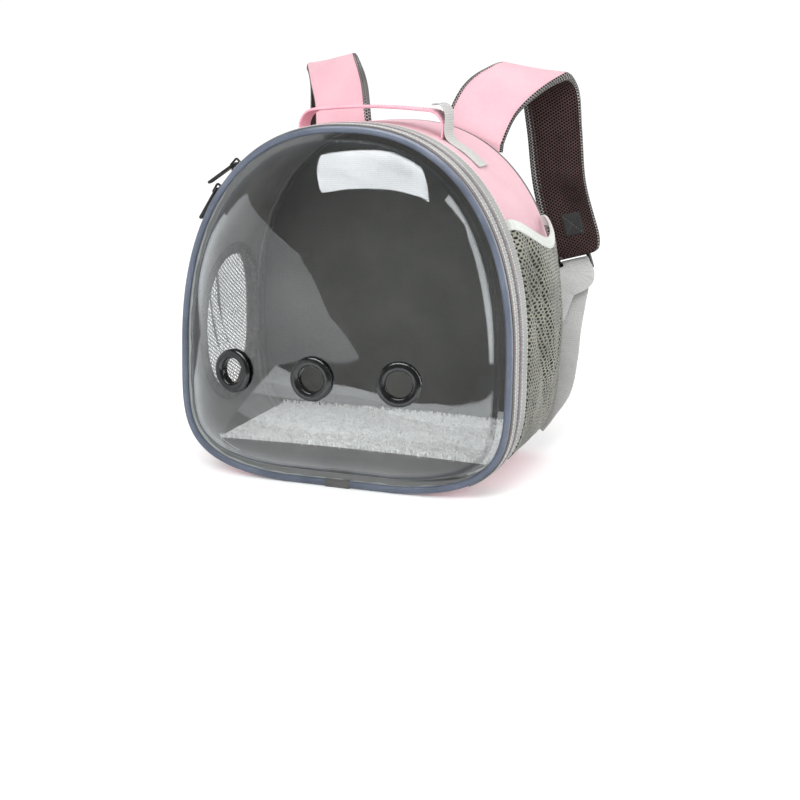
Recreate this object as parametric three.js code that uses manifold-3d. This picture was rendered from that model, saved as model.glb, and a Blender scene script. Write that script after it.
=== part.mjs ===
// A small pet carrier backpack with a clear bubble front, in millimetres, +Z up.
// The bubble faces -Y and the wearer's back is at +Y. The origin is on the floor under the middle of the body.
import * as THREE from "three";
import { mergeVertices } from "three/addons/utils/BufferGeometryUtils.js";
import Module from "manifold-3d";

const wasm = await Module();
wasm.setup();

// Body: the arch-shaped line that the rim piping follows, seen from the front
const halfWidth = 150;
const rimHeight = 305;
const widestHeight = 113;
const lowerSideExponent = 3.27;
const lowerFootExponent = 4.45;
const upperSideExponent = 2.32;
const upperTopExponent = 2.25;
const footRise = 0.8; // this much of the curved underside is flattened to stand on
const rimLean = 0.046; // how far the front leans back for each unit of height
const bodyDepth = 172;

// Walls and clearances
const gap = 0.3;
const wallThickness = 3;
const backThickness = 6;
const backPadRise = 5;
const backPadMargin = 19;
const pipingRadius = 3;

// Bands of tape and zip that lie on the wall behind the rim
const tapeThickness = 1;
const frontTapeWidth = 10;
const zipWidth = 10;
const zipRidgeWidth = 5;
const zipRidgeRise = 1;
const rearTapeWidth = 18;
const bandStart = 0.115; // share of the rim line, from the middle of the foot

// Clear bubble
const bubbleDepth = 61;
const bubbleThickness = 1.2;
const bubbleFlange = 5;
const bubbleCentreHeight = 135;
const bubbleRoundness = 3.2;
const bubbleSteepness = 0.75;

// Vent grommets
const ventHeight = 108;
const ventSpacing = 73.7;
const ventBoreRadius = 11;
const ventNeckRadius = 13;
const ventFlangeRadius = 18.5;
const ventFrontHeight = 3.6;
const ventBackHeight = 2.4;
const ventSeat = 1.2; // a flat flange needs this much over the curved sheet

// Side windows of net
const windowHalfLength = 46;
const windowHalfHeight = 66;
const windowDepthCentre = 90;
const windowHeightCentre = 122;
const windowRoundness = 2.2;
const netThickness = 1.2;
const netPitch = 16.5;
const netStrand = 3.6;
const netMargin = 4;

// Side pockets
const pocketThickness = 1.5;
const pocketBulge = 9;
const pocketGape = 4.5; // how much further its mouth stands open
const pocketStart = 0.14; // shares of the rim line
const pocketFrontTop = 0.343;
const pocketDipTop = 0.318;
const pocketBackTop = 0.336;
const pocketBackMargin = 5;
const bindingWidth = 9;
const bindingThickness = 2.4;

// Fleece pad on the cabin floor
const fleeceTop = 25;
const fleeceFront = 26;
const fleeceCrown = 2;

// Top handle and the ribbon on its right foot
const handleDepthCentre = 88;
const handleHalfSpan = 67;
const handleRise = 22;
const handleClearance = 14; // from the crown up to the handle's middle
const handleSplay = 0.5;
const handleSeat = 1; // its flat foot needs this much over the curved crown
const handleWidth = 24;
const handleThickness = 2.6;
const ribbonWidth = 25;
const ribbonThickness = 1.6;
const ribbonTail = 36;
const ribbonSeat = 0.4;
const ribbonRise = 6; // where it leaves the crown for the handle's foot
const ribbonTurn = 5; // how far in it lies flat on the handle
const ribbonOverlap = 12;

// Shoulder straps
const strapWidth = 60;
const strapThickness = 10;
const strapReach = 82; // behind the back panel
const strapCrest = 364;
const webbingWidth = 30;
const webbingThickness = 1.6;
const buckleWidth = 38;
const buckleHeight = 30;
const buckleThickness = 4;
const buckleBar = 4;
const buckleOverlap = 13; // how far up behind the pad's end it reaches
const ease = 0.6; // more room for webbing where it turns round a bar or an edge

// Zip sliders and pulls
const upperSliderHeight = 268;
const sliderSpacing = 27;
const sliderLength = 12;
const sliderWidth = 9;
const sliderThickness = 3.4;
const bridgeWidth = 2.6;
const bridgeLength = 10;
const bridgeLeg = 1.5;
const bridgeRoof = 1.5;
const bridgeClear = 1.8; // from the pull's bar to the slider and to the bridge's roof
const pullLength = 33;
const pullWidth = 8;
const pullThickness = 2;
const pullEyeLength = 5.6;
const pullEyeWidth = 4;
const pullSlotLength = 8;
const upperPullLift = 13; // degrees off the tape, where it lies over the lower slider

// Facet counts
const rimSteps = 56;
const roundSteps = 20;
const strapSteps = 22;

const pink = { color: 0xf0bcc8, roughness: 0.85, metalness: 0 };
const lightGrey = { color: 0xc6c8c2, roughness: 0.85, metalness: 0 };
const midGrey = { color: 0xa0a09e, roughness: 0.85, metalness: 0 };
const darkMesh = { color: 0x3c3838, roughness: 0.95, metalness: 0 };
const oliveMesh = { color: 0x9d9d8c, roughness: 0.95, metalness: 0 };
const blueGrey = { color: 0x6c7690, roughness: 0.45, metalness: 0 };
const blackPlastic = { color: 0x121212, roughness: 0.3, metalness: 0 };
const white = { color: 0xe8e8e6, roughness: 0.95, metalness: 0 };
const clear = { color: 0xd8dcde, roughness: 0.05, metalness: 0, transparent: true, opacity: 0.3 };

const skinOffset = pipingRadius + gap; // the wall's outer face, out from the piping's centre line
const innerOffset = skinOffset - wallThickness;
const bandOffset = skinOffset + gap;
const backFace = bodyDepth - backThickness;

const point = (x, y, z) => new THREE.Vector3(x, y, z);

// The rim line, measured finely once and then read at any share of its length.
const rimTable = (() => {
  const fineSteps = 1440;
  const curveHeight = rimHeight - widestHeight;
  const table = [];
  let length = 0;
  for (let step = 0; step <= fineSteps; step += 1) {
    const turn = Math.PI - (2 * Math.PI * step) / fineSteps;
    const across = Math.sin(turn);
    const upward = Math.cos(turn);
    const isUpper = upward >= 0;
    const sideExponent = isUpper ? upperSideExponent : lowerSideExponent;
    const endExponent = isUpper ? upperTopExponent : lowerFootExponent;
    const reach = isUpper ? curveHeight : -widestHeight;
    const x = halfWidth * Math.sign(across) * Math.abs(across) ** (2 / sideExponent);
    const curved = widestHeight + reach * Math.abs(upward) ** (2 / endExponent);
    const flattened = (Math.max(curved, footRise) - footRise) * (rimHeight / (rimHeight - footRise));
    const z = flattened + skinOffset;
    const last = table.at(-1);
    if (last) length += Math.hypot(x - last.x, z - last.z);
    table.push({ x, z, length });
  }
  return table;
})();
const rimLength = rimTable.at(-1).length;

function rimSpot(share) {
  const wrapped = ((share % 1) + 1) % 1;
  const target = wrapped * rimLength;
  const after = Math.max(1, rimTable.findIndex((row) => row.length >= target));
  const a = rimTable[after - 1];
  const b = rimTable[after];
  const mix = (target - a.length) / Math.max(b.length - a.length, 1e-9);
  return { x: a.x + (b.x - a.x) * mix, z: a.z + (b.z - a.z) * mix };
}

// The rim line at a share of its length, moved outwards by an offset. Share 0 is the middle of the foot.
function rimAt(share, offset = 0) {
  const reach = 0.004;
  const before = rimSpot(share - reach);
  const after = rimSpot(share + reach);
  const spot = rimSpot(share);
  const run = Math.hypot(after.x - before.x, after.z - before.z);
  const nx = (after.z - before.z) / run;
  const nz = -(after.x - before.x) / run;
  return { x: spot.x + nx * offset, z: spot.z + nz * offset, nx, nz };
}

const rimPlane = (z) => rimLean * z;
const rimLoop = (offset) => Array.from({ length: rimSteps }, (_, i) => rimAt(i / rimSteps, offset));

// The share of the rim line where its right side first reaches a height, on the lower or the upper half.
function shareAtHeight(height) {
  const index = rimTable.findIndex((row) => row.x > 0 && row.z >= height);
  return rimTable[index].length / rimLength;
}

// The half width of the wall's face at a height.
function sideAt(height, offset) {
  const spot = rimAt(shareAtHeight(height), offset);
  return spot.x;
}

function faceOut(positions, index) {
  let volume = 0;
  const corner = (i) => new THREE.Vector3().fromArray(positions, index[i] * 3);
  for (let i = 0; i < index.length; i += 3) {
    volume += corner(i).dot(corner(i + 1).cross(corner(i + 2)));
  }
  const faces = volume < 0 ? index.slice().reverse() : index;
  const geometry = new THREE.BufferGeometry();
  geometry.setAttribute("position", new THREE.Float32BufferAttribute(positions, 3));
  geometry.setIndex(faces);
  return geometry;
}

// A solid through a row of sections with equal point counts. An open row is capped from its middle.
function loft(sections, closed = false) {
  const size = sections[0].length;
  const positions = sections.flat().flatMap((p) => [p.x, p.y, p.z]);
  const index = [];
  const bands = closed ? sections.length : sections.length - 1;
  for (let band = 0; band < bands; band += 1) {
    const next = (band + 1) % sections.length;
    for (let i = 0; i < size; i += 1) {
      const j = (i + 1) % size;
      index.push(band * size + i, band * size + j, next * size + j);
      index.push(band * size + i, next * size + j, next * size + i);
    }
  }
  if (!closed) {
    for (const [at, flip] of [[0, true], [sections.length - 1, false]]) {
      const middle = sections[at].reduce((sum, p) => sum.add(p), point(0, 0, 0)).divideScalar(size);
      const hub = positions.length / 3;
      positions.push(middle.x, middle.y, middle.z);
      for (let i = 0; i < size; i += 1) {
        const edge = [at * size + i, at * size + ((i + 1) % size)];
        index.push(...(flip ? edge.reverse() : edge), hub);
      }
    }
  }
  return faceOut(positions, index);
}

function solidOf(geometry) {
  const bare = geometry.clone();
  bare.deleteAttribute("normal");
  bare.deleteAttribute("uv");
  const merged = mergeVertices(bare, 1e-4);
  return new wasm.Manifold(
    new wasm.Mesh({
      numProp: 3,
      vertProperties: new Float32Array(merged.attributes.position.array),
      triVerts: new Uint32Array(merged.index.array),
    }),
  );
}

function geometryOf(solid) {
  const cut = solid.getMesh();
  const geometry = new THREE.BufferGeometry();
  geometry.setAttribute("position", new THREE.BufferAttribute(cut.vertProperties, 3));
  geometry.setIndex(new THREE.BufferAttribute(cut.triVerts, 1));
  return geometry;
}

const cutAway = (geometry, ...tools) =>
  geometryOf(tools.reduce((left, tool) => left.subtract(solidOf(tool)), solidOf(geometry)));

const joined = (first, ...others) =>
  geometryOf(others.reduce((sum, other) => sum.add(solidOf(other)), solidOf(first)));

function named(name, geometry, look) {
  const flat = geometry.index ? geometry.toNonIndexed() : geometry;
  flat.computeVertexNormals();
  const mesh = new THREE.Mesh(flat, new THREE.MeshStandardMaterial(look));
  mesh.name = name;
  return mesh;
}

const mirrorX = (geometry) => {
  const flipped = geometry.clone().applyMatrix4(new THREE.Matrix4().makeScale(-1, 1, 1));
  return faceOut(Array.from(flipped.attributes.position.array), Array.from(flipped.index.array));
};

// A flat strip of cloth along a row of centres, each with the direction of its width.
function strip(centres, widths, width, thickness) {
  const sections = centres.map((centre, i) => {
    const ahead = centres[Math.min(i + 1, centres.length - 1)];
    const behind = centres[Math.max(i - 1, 0)];
    const along = ahead.clone().sub(behind).normalize();
    const through = along.clone().cross(widths[i]).normalize();
    const across = through.clone().cross(along).normalize();
    const corner = (u, v) =>
      centre.clone().addScaledVector(across, (u * width) / 2).addScaledVector(through, (v * thickness) / 2);
    return [corner(-1, -1), corner(1, -1), corner(1, 1), corner(-1, 1)];
  });
  return loft(sections);
}

const smooth = (points, steps) => new THREE.CatmullRomCurve3(points, false, "centripetal").getPoints(steps);

// The wall

function windowShape(inset) {
  const shape = new THREE.Shape();
  const steps = 28;
  for (let i = 0; i < steps; i += 1) {
    const turn = (2 * Math.PI * i) / steps;
    const along = Math.cos(turn);
    const up = Math.sin(turn);
    const power = 2 / windowRoundness;
    const y = windowDepthCentre + (windowHalfLength - inset) * Math.sign(along) * Math.abs(along) ** power;
    const z = windowHeightCentre + (windowHalfHeight - inset) * Math.sign(up) * Math.abs(up) ** power;
    if (i === 0) shape.moveTo(y, z);
    else shape.lineTo(y, z);
  }
  shape.closePath();
  return shape;
}

// Turns a shape drawn in depth and height, extruded along its own normal, to lie across the pack.
function acrossPack(geometry) {
  const toPack = new THREE.Matrix4().makeBasis(point(0, 1, 0), point(0, 0, 1), point(1, 0, 0));
  return geometry.applyMatrix4(toPack);
}

function wall() {
  const sections = rimLoop(0).map((_, i) => {
    const outer = rimAt(i / rimSteps, skinOffset);
    const inner = rimAt(i / rimSteps, innerOffset);
    return [
      point(outer.x, rimPlane(outer.z) + skinOffset, outer.z),
      point(outer.x, backFace - gap, outer.z),
      point(inner.x, backFace - gap, inner.z),
      point(inner.x, rimPlane(inner.z) + skinOffset, inner.z),
    ];
  });
  const drill = new THREE.ExtrudeGeometry(windowShape(0), { depth: 4 * halfWidth, bevelEnabled: false });
  acrossPack(drill).translate(-2 * halfWidth, 0, 0);
  return cutAway(loft(sections, true), drill);
}

// Net with lozenge gaps, cut flat and then bent to the wall's curve.
function windowNet() {
  const half = (netPitch - netStrand) / 2;
  const columns = Math.ceil(windowHalfLength / netPitch) * 2;
  const rows = Math.ceil(windowHalfHeight / netPitch) * 2;
  const gaps = [];
  for (let row = -rows; row <= rows; row += 1) {
    for (let column = -columns; column <= columns; column += 1) {
      if ((row + column) % 2 !== 0) continue;
      const y = (column * netPitch) / 2;
      const z = (row * netPitch) / 2;
      const reachY = (Math.abs(y) + half / 2 + netMargin) / (windowHalfLength - gap);
      const reachZ = (Math.abs(z) + half / 2 + netMargin) / (windowHalfHeight - gap);
      if (reachY ** windowRoundness + reachZ ** windowRoundness > 1) continue;
      const lozenge = new THREE.CylinderGeometry(half, half, 4 * netThickness, 4);
      lozenge.rotateX(Math.PI / 2);
      gaps.push(lozenge.translate(windowDepthCentre + y, windowHeightCentre + z, 0));
    }
  }
  const plate = new THREE.ExtrudeGeometry(windowShape(gap), { depth: netThickness, bevelEnabled: false });
  const net = acrossPack(cutAway(plate, ...gaps));
  const position = net.attributes.position;
  const middle = (skinOffset + innerOffset - netThickness) / 2;
  for (let i = 0; i < position.count; i += 1) {
    position.setX(i, position.getX(i) + sideAt(position.getZ(i), middle));
  }
  return net;
}

// The back panel, with a raised pad towards the wearer.
function backPanel() {
  const bevel = 1;
  const rings = [
    { offset: skinOffset - bevel, y: backFace },
    { offset: skinOffset, y: backFace + bevel },
    { offset: skinOffset, y: bodyDepth - bevel },
    { offset: skinOffset - bevel, y: bodyDepth },
    { offset: -backPadMargin, y: bodyDepth },
    { offset: -backPadMargin - backPadRise / 2, y: bodyDepth + backPadRise },
  ];
  return loft(rings.map((ring) => rimLoop(ring.offset).map((spot) => point(spot.x, ring.y, spot.z))));
}

// A place on the wall's own facets, at a share of the rim line and an offset from it.
function facetAt(share, offset) {
  const at = Math.floor(share * rimSteps);
  const mix = share * rimSteps - at;
  const a = rimAt(at / rimSteps, offset);
  const b = rimAt((at + 1) / rimSteps, offset);
  return { x: a.x + (b.x - a.x) * mix, z: a.z + (b.z - a.z) * mix };
}

// The shares of the rim line's own facets between two shares, with both ends.
function facetShares(start, end) {
  const whole = Array.from({ length: 2 * rimSteps }, (_, i) => i / rimSteps - 0.5);
  const margin = 0.1 / rimSteps;
  return [start, ...whole.filter((share) => share > start + margin && share < end - margin), end];
}

// A ring that follows the rim: a section of (offset, distance behind the rim plane) pairs along it.
function rimBand(section, start, end) {
  return loft(facetShares(start, end).map((share) => section.map(([offset, behind]) => {
    const spot = facetAt(share, offset);
    return point(spot.x, rimPlane(spot.z) + behind, spot.z);
  })));
}

function piping() {
  const sides = 8;
  const sections = rimLoop(0).map((spot) =>
    Array.from({ length: sides }, (_, i) => {
      const turn = (2 * Math.PI * (i + 0.5)) / sides;
      const out = pipingRadius * Math.cos(turn);
      return point(
        spot.x + spot.nx * out,
        rimPlane(spot.z) + pipingRadius * Math.sin(turn),
        spot.z + spot.nz * out,
      );
    }),
  );
  return loft(sections, true);
}

// The short sleeve over the piping's joint, open towards the floor.
function pipingSleeve() {
  const sleeveHalf = 0.011; // share of the rim line
  const inner = pipingRadius + gap;
  const outer = inner + 0.8;
  const start = 1.1 * Math.PI;
  const end = 1.78 * Math.PI;
  const arcSteps = 6;
  const arc = (radius, from, to) =>
    Array.from({ length: arcSteps + 1 }, (_, i) => {
      const turn = from + ((to - from) * i) / arcSteps;
      return [radius * Math.cos(turn), radius * Math.sin(turn)];
    });
  return { section: [...arc(outer, start, end), ...arc(inner, end, start)], half: sleeveHalf };
}

const frontTapeStart = skinOffset + gap;
const zipStart = frontTapeStart + frontTapeWidth + gap;
const rearTapeStart = zipStart + zipWidth + gap;
const rearTapeEnd = rearTapeStart + rearTapeWidth;
const zipMiddle = zipStart + zipWidth / 2;

const flatBand = (from, to) => [
  [bandOffset, from],
  [bandOffset + tapeThickness, from],
  [bandOffset + tapeThickness, to],
  [bandOffset, to],
];

function zipSection() {
  const top = bandOffset + tapeThickness;
  const ridge = zipRidgeWidth / 2;
  return [
    [bandOffset, zipStart],
    [top, zipStart],
    [top + zipRidgeRise, zipMiddle - ridge],
    [top + zipRidgeRise, zipMiddle + ridge],
    [top, zipStart + zipWidth],
    [bandOffset, zipStart + zipWidth],
  ];
}

// The clear bubble

const bubbleEdge = -(pipingRadius + gap);

// How far the bubble stands in front of the rim plane, at a share of the way out to its flange.
const bubbleRise = (share) => bubbleDepth * (1 - share ** bubbleRoundness) ** bubbleSteepness;

function bubbleRing(share) {
  return rimLoop(bubbleEdge - bubbleFlange).map((spot) => {
    const x = spot.x * share;
    const z = bubbleCentreHeight + (spot.z - bubbleCentreHeight) * share;
    return point(x, rimPlane(z) - bubbleRise(share), z);
  });
}

function bubbleSheet() {
  const shares = [0.2, 0.45, 0.65, 0.8, 0.9, 0.965, 1];
  const flange = rimLoop(bubbleEdge).map((spot) => point(spot.x, rimPlane(spot.z), spot.z));
  const front = [...shares.map(bubbleRing), flange];
  const centre = point(0, rimPlane(bubbleCentreHeight) - bubbleRise(0), bubbleCentreHeight);
  const back = front.map((ring, r) =>
    ring.map((p, i) => {
      const nextRing = front[Math.min(r + 1, front.length - 1)][i];
      const lastRing = r === 0 ? centre : front[r - 1][i];
      const outward = nextRing.clone().sub(lastRing);
      const around = ring[(i + 1) % ring.length].clone().sub(ring.at(i - 1));
      const inward = around.cross(outward).normalize();
      if (inward.y < 0) inward.negate();
      return p.clone().addScaledVector(inward, bubbleThickness);
    }),
  );
  return loft([...front, ...back.reverse()]);
}

// The share of the way out to the flange at a place on the bubble, seen from the front.
function bubbleShare(x, z) {
  const turnOf = (spot) => Math.atan2(spot.z - bubbleCentreHeight, spot.x);
  const edges = rimLoop(bubbleEdge - bubbleFlange);
  const turn = turnOf({ x, z });
  const off = (spot) => {
    const turned = turnOf(spot) - turn;
    return Math.atan2(Math.sin(turned), Math.cos(turned));
  };
  const at = edges.findIndex((spot, i) => {
    const ahead = off(edges[(i + 1) % edges.length]);
    return off(spot) <= 0 && ahead > 0 && ahead - off(spot) < Math.PI;
  });
  const a = edges[at];
  const b = edges[(at + 1) % edges.length];
  const mix = -off(a) / (off(b) - off(a));
  const edgeX = a.x + (b.x - a.x) * mix;
  const edgeZ = a.z + (b.z - a.z) * mix - bubbleCentreHeight;
  return Math.min(Math.hypot(x, z - bubbleCentreHeight) / Math.hypot(edgeX, edgeZ), 1);
}

const bubbleFront = (x, z) => point(x, rimPlane(z) - bubbleRise(bubbleShare(x, z)), z);

// A vent sits flat on the bubble: its plane is the mean of the sheet under its flange.
function ventFrame(x) {
  const reach = ventFlangeRadius * 0.85;
  const right = bubbleFront(x + reach, ventHeight);
  const left = bubbleFront(x - reach, ventHeight);
  const over = bubbleFront(x, ventHeight + reach);
  const under = bubbleFront(x, ventHeight - reach);
  const facing = over.clone().sub(under).cross(right.clone().sub(left)).normalize();
  if (facing.y > 0) facing.negate();
  const seat = right.add(left).add(over).add(under).divideScalar(4);
  seat.addScaledVector(facing, -bubbleThickness / 2);
  const turn = new THREE.Quaternion().setFromUnitVectors(point(0, 1, 0), facing);
  return new THREE.Matrix4().compose(seat, turn, point(1, 1, 1));
}

// A grommet drawn about its own axis: a thin sleeve through the sheet with a rounded ring on each side.
function grommet() {
  const half = bubbleThickness / 2 + ventSeat;
  const crown = ventFlangeRadius - 2;
  const profile = [
    [ventBoreRadius, -half - ventBackHeight + 0.6],
    [ventBoreRadius + 1, -half - ventBackHeight],
    [crown, -half - ventBackHeight],
    [ventFlangeRadius, -half],
    [ventNeckRadius, -half],
    [ventNeckRadius, half],
    [ventFlangeRadius, half],
    [ventFlangeRadius, half + 1],
    [crown, half + ventFrontHeight],
    [ventBoreRadius + 1.5, half + ventFrontHeight],
    [ventBoreRadius, half + 1.6],
  ].map(([radius, height]) => new THREE.Vector2(radius, height));
  profile.push(profile[0].clone());
  const turned = new THREE.LatheGeometry(profile, roundSteps);
  return turned.deleteAttribute("normal").deleteAttribute("uv");
}

function bubble(ventPlaces) {
  const drills = ventPlaces.map((x) => {
    const drill = new THREE.CylinderGeometry(
      ventNeckRadius + gap, ventNeckRadius + gap, 5 * ventFlangeRadius, roundSteps,
    );
    return drill.applyMatrix4(ventFrame(x));
  });
  return cutAway(bubbleSheet(), ...drills);
}

// Side pocket

function pocketTopShare(along) {
  const dip = Math.sin(Math.PI * along);
  const straight = pocketFrontTop + (pocketBackTop - pocketFrontTop) * along;
  const lowest = (pocketFrontTop + pocketBackTop) / 2 - pocketDipTop;
  return straight - lowest * dip;
}

const pocketColumns = 9;
const pocketRows = 11;
const pocketSeam = 0.6; // the seams stand off the wall by this much more than a gap
const bindingShare = bindingWidth / rimLength;

function pocketSpot(along, share, lift) {
  const spot = rimAt(share, bandOffset + pocketSeam + lift);
  const front = rimPlane(spot.z) + rearTapeEnd + gap;
  const back = backFace - pocketBackMargin;
  return point(spot.x, front + (back - front) * along, spot.z);
}

// How far the pocket stands off the wall: nothing along its seams, most at the open top's middle.
function pocketLift(along, rise) {
  const across = Math.sin(Math.PI * along) ** (0.8 - 0.35 * rise);
  const upward = Math.sin((Math.PI / 2) * Math.min(1, rise * 1.6)) ** 0.9;
  return across * (pocketBulge * upward + pocketGape * rise ** 3);
}

// A curved sheet: spotAt gives a place for a share along it, a share up it and a lift off the wall.
function sheetSolid(columns, rows, spotAt, thickness) {
  const places = [0, thickness].flatMap((lift) =>
    Array.from({ length: (columns + 1) * (rows + 1) }, (_, n) =>
      spotAt(Math.floor(n / (rows + 1)) / columns, (n % (rows + 1)) / rows, lift)));
  const spot = (i, j, face) => face * (columns + 1) * (rows + 1) + i * (rows + 1) + j;
  const index = [];
  const quad = (a, b, c, d) => index.push(a, b, c, a, c, d);
  for (let i = 0; i < columns; i += 1) {
    for (let j = 0; j < rows; j += 1) {
      quad(spot(i, j, 1), spot(i + 1, j, 1), spot(i + 1, j + 1, 1), spot(i, j + 1, 1));
      quad(spot(i, j, 0), spot(i, j + 1, 0), spot(i + 1, j + 1, 0), spot(i + 1, j, 0));
    }
    quad(spot(i, 0, 0), spot(i + 1, 0, 0), spot(i + 1, 0, 1), spot(i, 0, 1));
    quad(spot(i, rows, 1), spot(i + 1, rows, 1), spot(i + 1, rows, 0), spot(i, rows, 0));
  }
  for (let j = 0; j < rows; j += 1) {
    quad(spot(0, j, 1), spot(0, j + 1, 1), spot(0, j + 1, 0), spot(0, j, 0));
    quad(spot(columns, j, 0), spot(columns, j + 1, 0), spot(columns, j + 1, 1), spot(columns, j, 1));
  }
  return faceOut(places.flatMap((p) => [p.x, p.y, p.z]), index);
}

function pocket() {
  return sheetSolid(pocketColumns, pocketRows, (along, rise, lift) => {
    const top = pocketTopShare(along) - bindingShare - gap / rimLength;
    const share = pocketStart + (top - pocketStart) * rise;
    return pocketSpot(along, share, pocketLift(along, rise) + lift);
  }, pocketThickness);
}

function pocketBinding() {
  return sheetSolid(pocketColumns, 1, (along, rise, lift) => {
    const share = pocketTopShare(along) - bindingShare * (1 - rise);
    return pocketSpot(along, share, pocketLift(along, 1) + lift);
  }, bindingThickness);
}

// Fleece pad: its underside follows the wall and its top is slightly crowned.
function fleecePad() {
  const side = shareAtHeight(fleeceTop);
  const upperSteps = 6;
  const sectionAt = (y, inset, crown) => {
    const under = facetShares(-side, side).map((share) => facetAt(share, innerOffset - gap - inset));
    const edge = under.at(-1);
    const over = Array.from({ length: upperSteps - 1 }, (_, i) => {
      const u = 1 - (2 * (i + 1)) / upperSteps;
      return { x: edge.x * u, z: edge.z + crown * (1 - u * u) };
    });
    return [...under, ...over].map((p) => point(p.x, y, p.z));
  };
  const round = 5;
  return loft([
    sectionAt(fleeceFront, round, 0),
    sectionAt(fleeceFront + round, 0, fleeceCrown),
    sectionAt(backFace - gap - round, 0, fleeceCrown),
    sectionAt(backFace - gap, round / 2, 0),
  ]);
}

// Top handle

const topAt = (x, offset) => {
  const row = rimTable.find((spot) => spot.x <= x && spot.z > widestHeight && spot.length < rimLength / 2 + 1);
  return rimAt(row.length / rimLength, offset);
};

const handleFoot = topAt(handleHalfSpan, skinOffset).z + gap + handleSeat;
const handleTop = rimAt(0.5, skinOffset).z + handleClearance;

function handle() {
  const side = handleHalfSpan;
  const shoulder = handleFoot + handleRise * 0.55;
  const crest = handleTop;
  const half = [
    point(side, handleDepthCentre, handleFoot),
    point(side + handleSplay, handleDepthCentre, shoulder),
    point(side * 0.9, handleDepthCentre, crest - handleRise * 0.22),
    point(side * 0.6, handleDepthCentre, crest - handleRise * 0.08),
  ];
  const left = half.map((p) => point(-p.x, p.y, p.z));
  const route = smooth([...left, point(0, handleDepthCentre, crest), ...half.reverse()], 26);
  const widths = route.map(() => point(0, 1, 0));
  return strip(route, widths, handleWidth, handleThickness);
}

function ribbon() {
  const outside = handleHalfSpan + handleSplay + handleThickness / 2 + gap + ribbonThickness / 2;
  const tailLift = skinOffset + gap + ribbonThickness / 2 + ribbonSeat;
  const tail = (share) => topAt(outside + ribbonTail * share, tailLift);
  const y = handleDepthCentre;
  const over = handleTop + handleThickness / 2 + gap + ribbonThickness / 2 + ribbonSeat / 2;
  const onCrown = [0.8, 0.4, 0.055].map((share) => point(tail(share).x, y, tail(share).z));
  const route = smooth([
    ...onCrown,
    point(outside + ribbonSeat, y, onCrown.at(-1).z + ribbonRise),
    point(outside, y, handleTop - ribbonRise * 0.67),
    point(outside - ribbonTurn, y, over),
    point(outside - ribbonOverlap, y, over),
  ], 20);
  return strip(route, route.map(() => point(0, 1, 0)), ribbonWidth, ribbonThickness);
}

// Shoulder straps

// Each row: out, as a share of the half width; back, as a share of the reach behind the back panel;
// up, as a share of the crest's height; yaw and roll of the width, in degrees; width, as a share of the strap's.
const strapRows = [
  { out: 0.427, back: 0, up: 0.786, yaw: 0, roll: 21, width: 1 },
  { out: 0.44, back: 0, up: 0.82, yaw: 0, roll: 22, width: 1 },
  { out: 0.5, back: 0.2, up: 0.91, yaw: 6, roll: 22, width: 1 },
  { out: 0.6, back: 0.47, up: 0.972, yaw: 12, roll: 18, width: 1 },
  { out: 0.71, back: 0.82, up: 1, yaw: 20, roll: 14, width: 1 },
  { out: 0.775, back: 1.02, up: 0.95, yaw: 34, roll: 10, width: 1 },
  { out: 0.815, back: 1.03, up: 0.84, yaw: 44, roll: 6, width: 1 },
  { out: 0.865, back: 0.97, up: 0.68, yaw: 48, roll: 2, width: 1 },
  { out: 0.96, back: 0.9, up: 0.55, yaw: 46, roll: 0, width: 0.96 },
  { out: 1.01, back: 0.86, up: 0.49, yaw: 40, roll: 0, width: 0.62 },
];

const strapBase = bodyDepth + 2 * gap + strapThickness / 2;

function strapPath() {
  const places = strapRows.map((row) =>
    point(halfWidth * row.out, strapBase + strapReach * row.back, strapCrest * row.up));
  const centres = smooth(places, strapSteps);
  centres.forEach((centre) => centre.setY(Math.max(centre.y, strapBase))); // the root lies on the panel
  const lookup = (key) => {
    const values = new THREE.CatmullRomCurve3(
      places.map((place, i) => point(strapRows[i][key], 0, i)), false, "centripetal",
    );
    return centres.map((_, i) => Math.max(values.getPoint(i / strapSteps).x, 0));
  };
  return { centres, yaw: lookup("yaw"), roll: lookup("roll"), share: lookup("width") };
}

const widthWay = (yaw, roll) => {
  const a = THREE.MathUtils.degToRad(yaw);
  const b = THREE.MathUtils.degToRad(roll);
  return point(Math.cos(a) * Math.cos(b), Math.sin(a) * Math.cos(b), -Math.sin(b));
};

// The outline of a padded strap, cut across: flat faces with rounded edges.
const padSection = [
  [-1, -0.45], [-0.9, -1], [0, -1], [0.9, -1], [1, -0.45],
  [1, 0.45], [0.9, 1], [0, 1], [-0.9, 1], [-1, 0.45],
];

// The frame of each cross-section of a strap: its middle, the ways across, through and along it.
const strapFrames = (() => {
  const { centres, yaw, roll, share } = strapPath();
  return centres.map((centre, i) => {
    const ahead = centres[Math.min(i + 1, strapSteps)];
    const behind = centres[Math.max(i - 1, 0)];
    const along = ahead.clone().sub(behind);
    if (centre.y === strapBase) along.setY(0);
    along.normalize();
    const through = along.clone().cross(widthWay(yaw[i], roll[i])).normalize();
    const across = through.clone().cross(along).normalize();
    return { centre, across, through, along, half: (strapWidth / 2) * share[i] };
  });
})();

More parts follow.
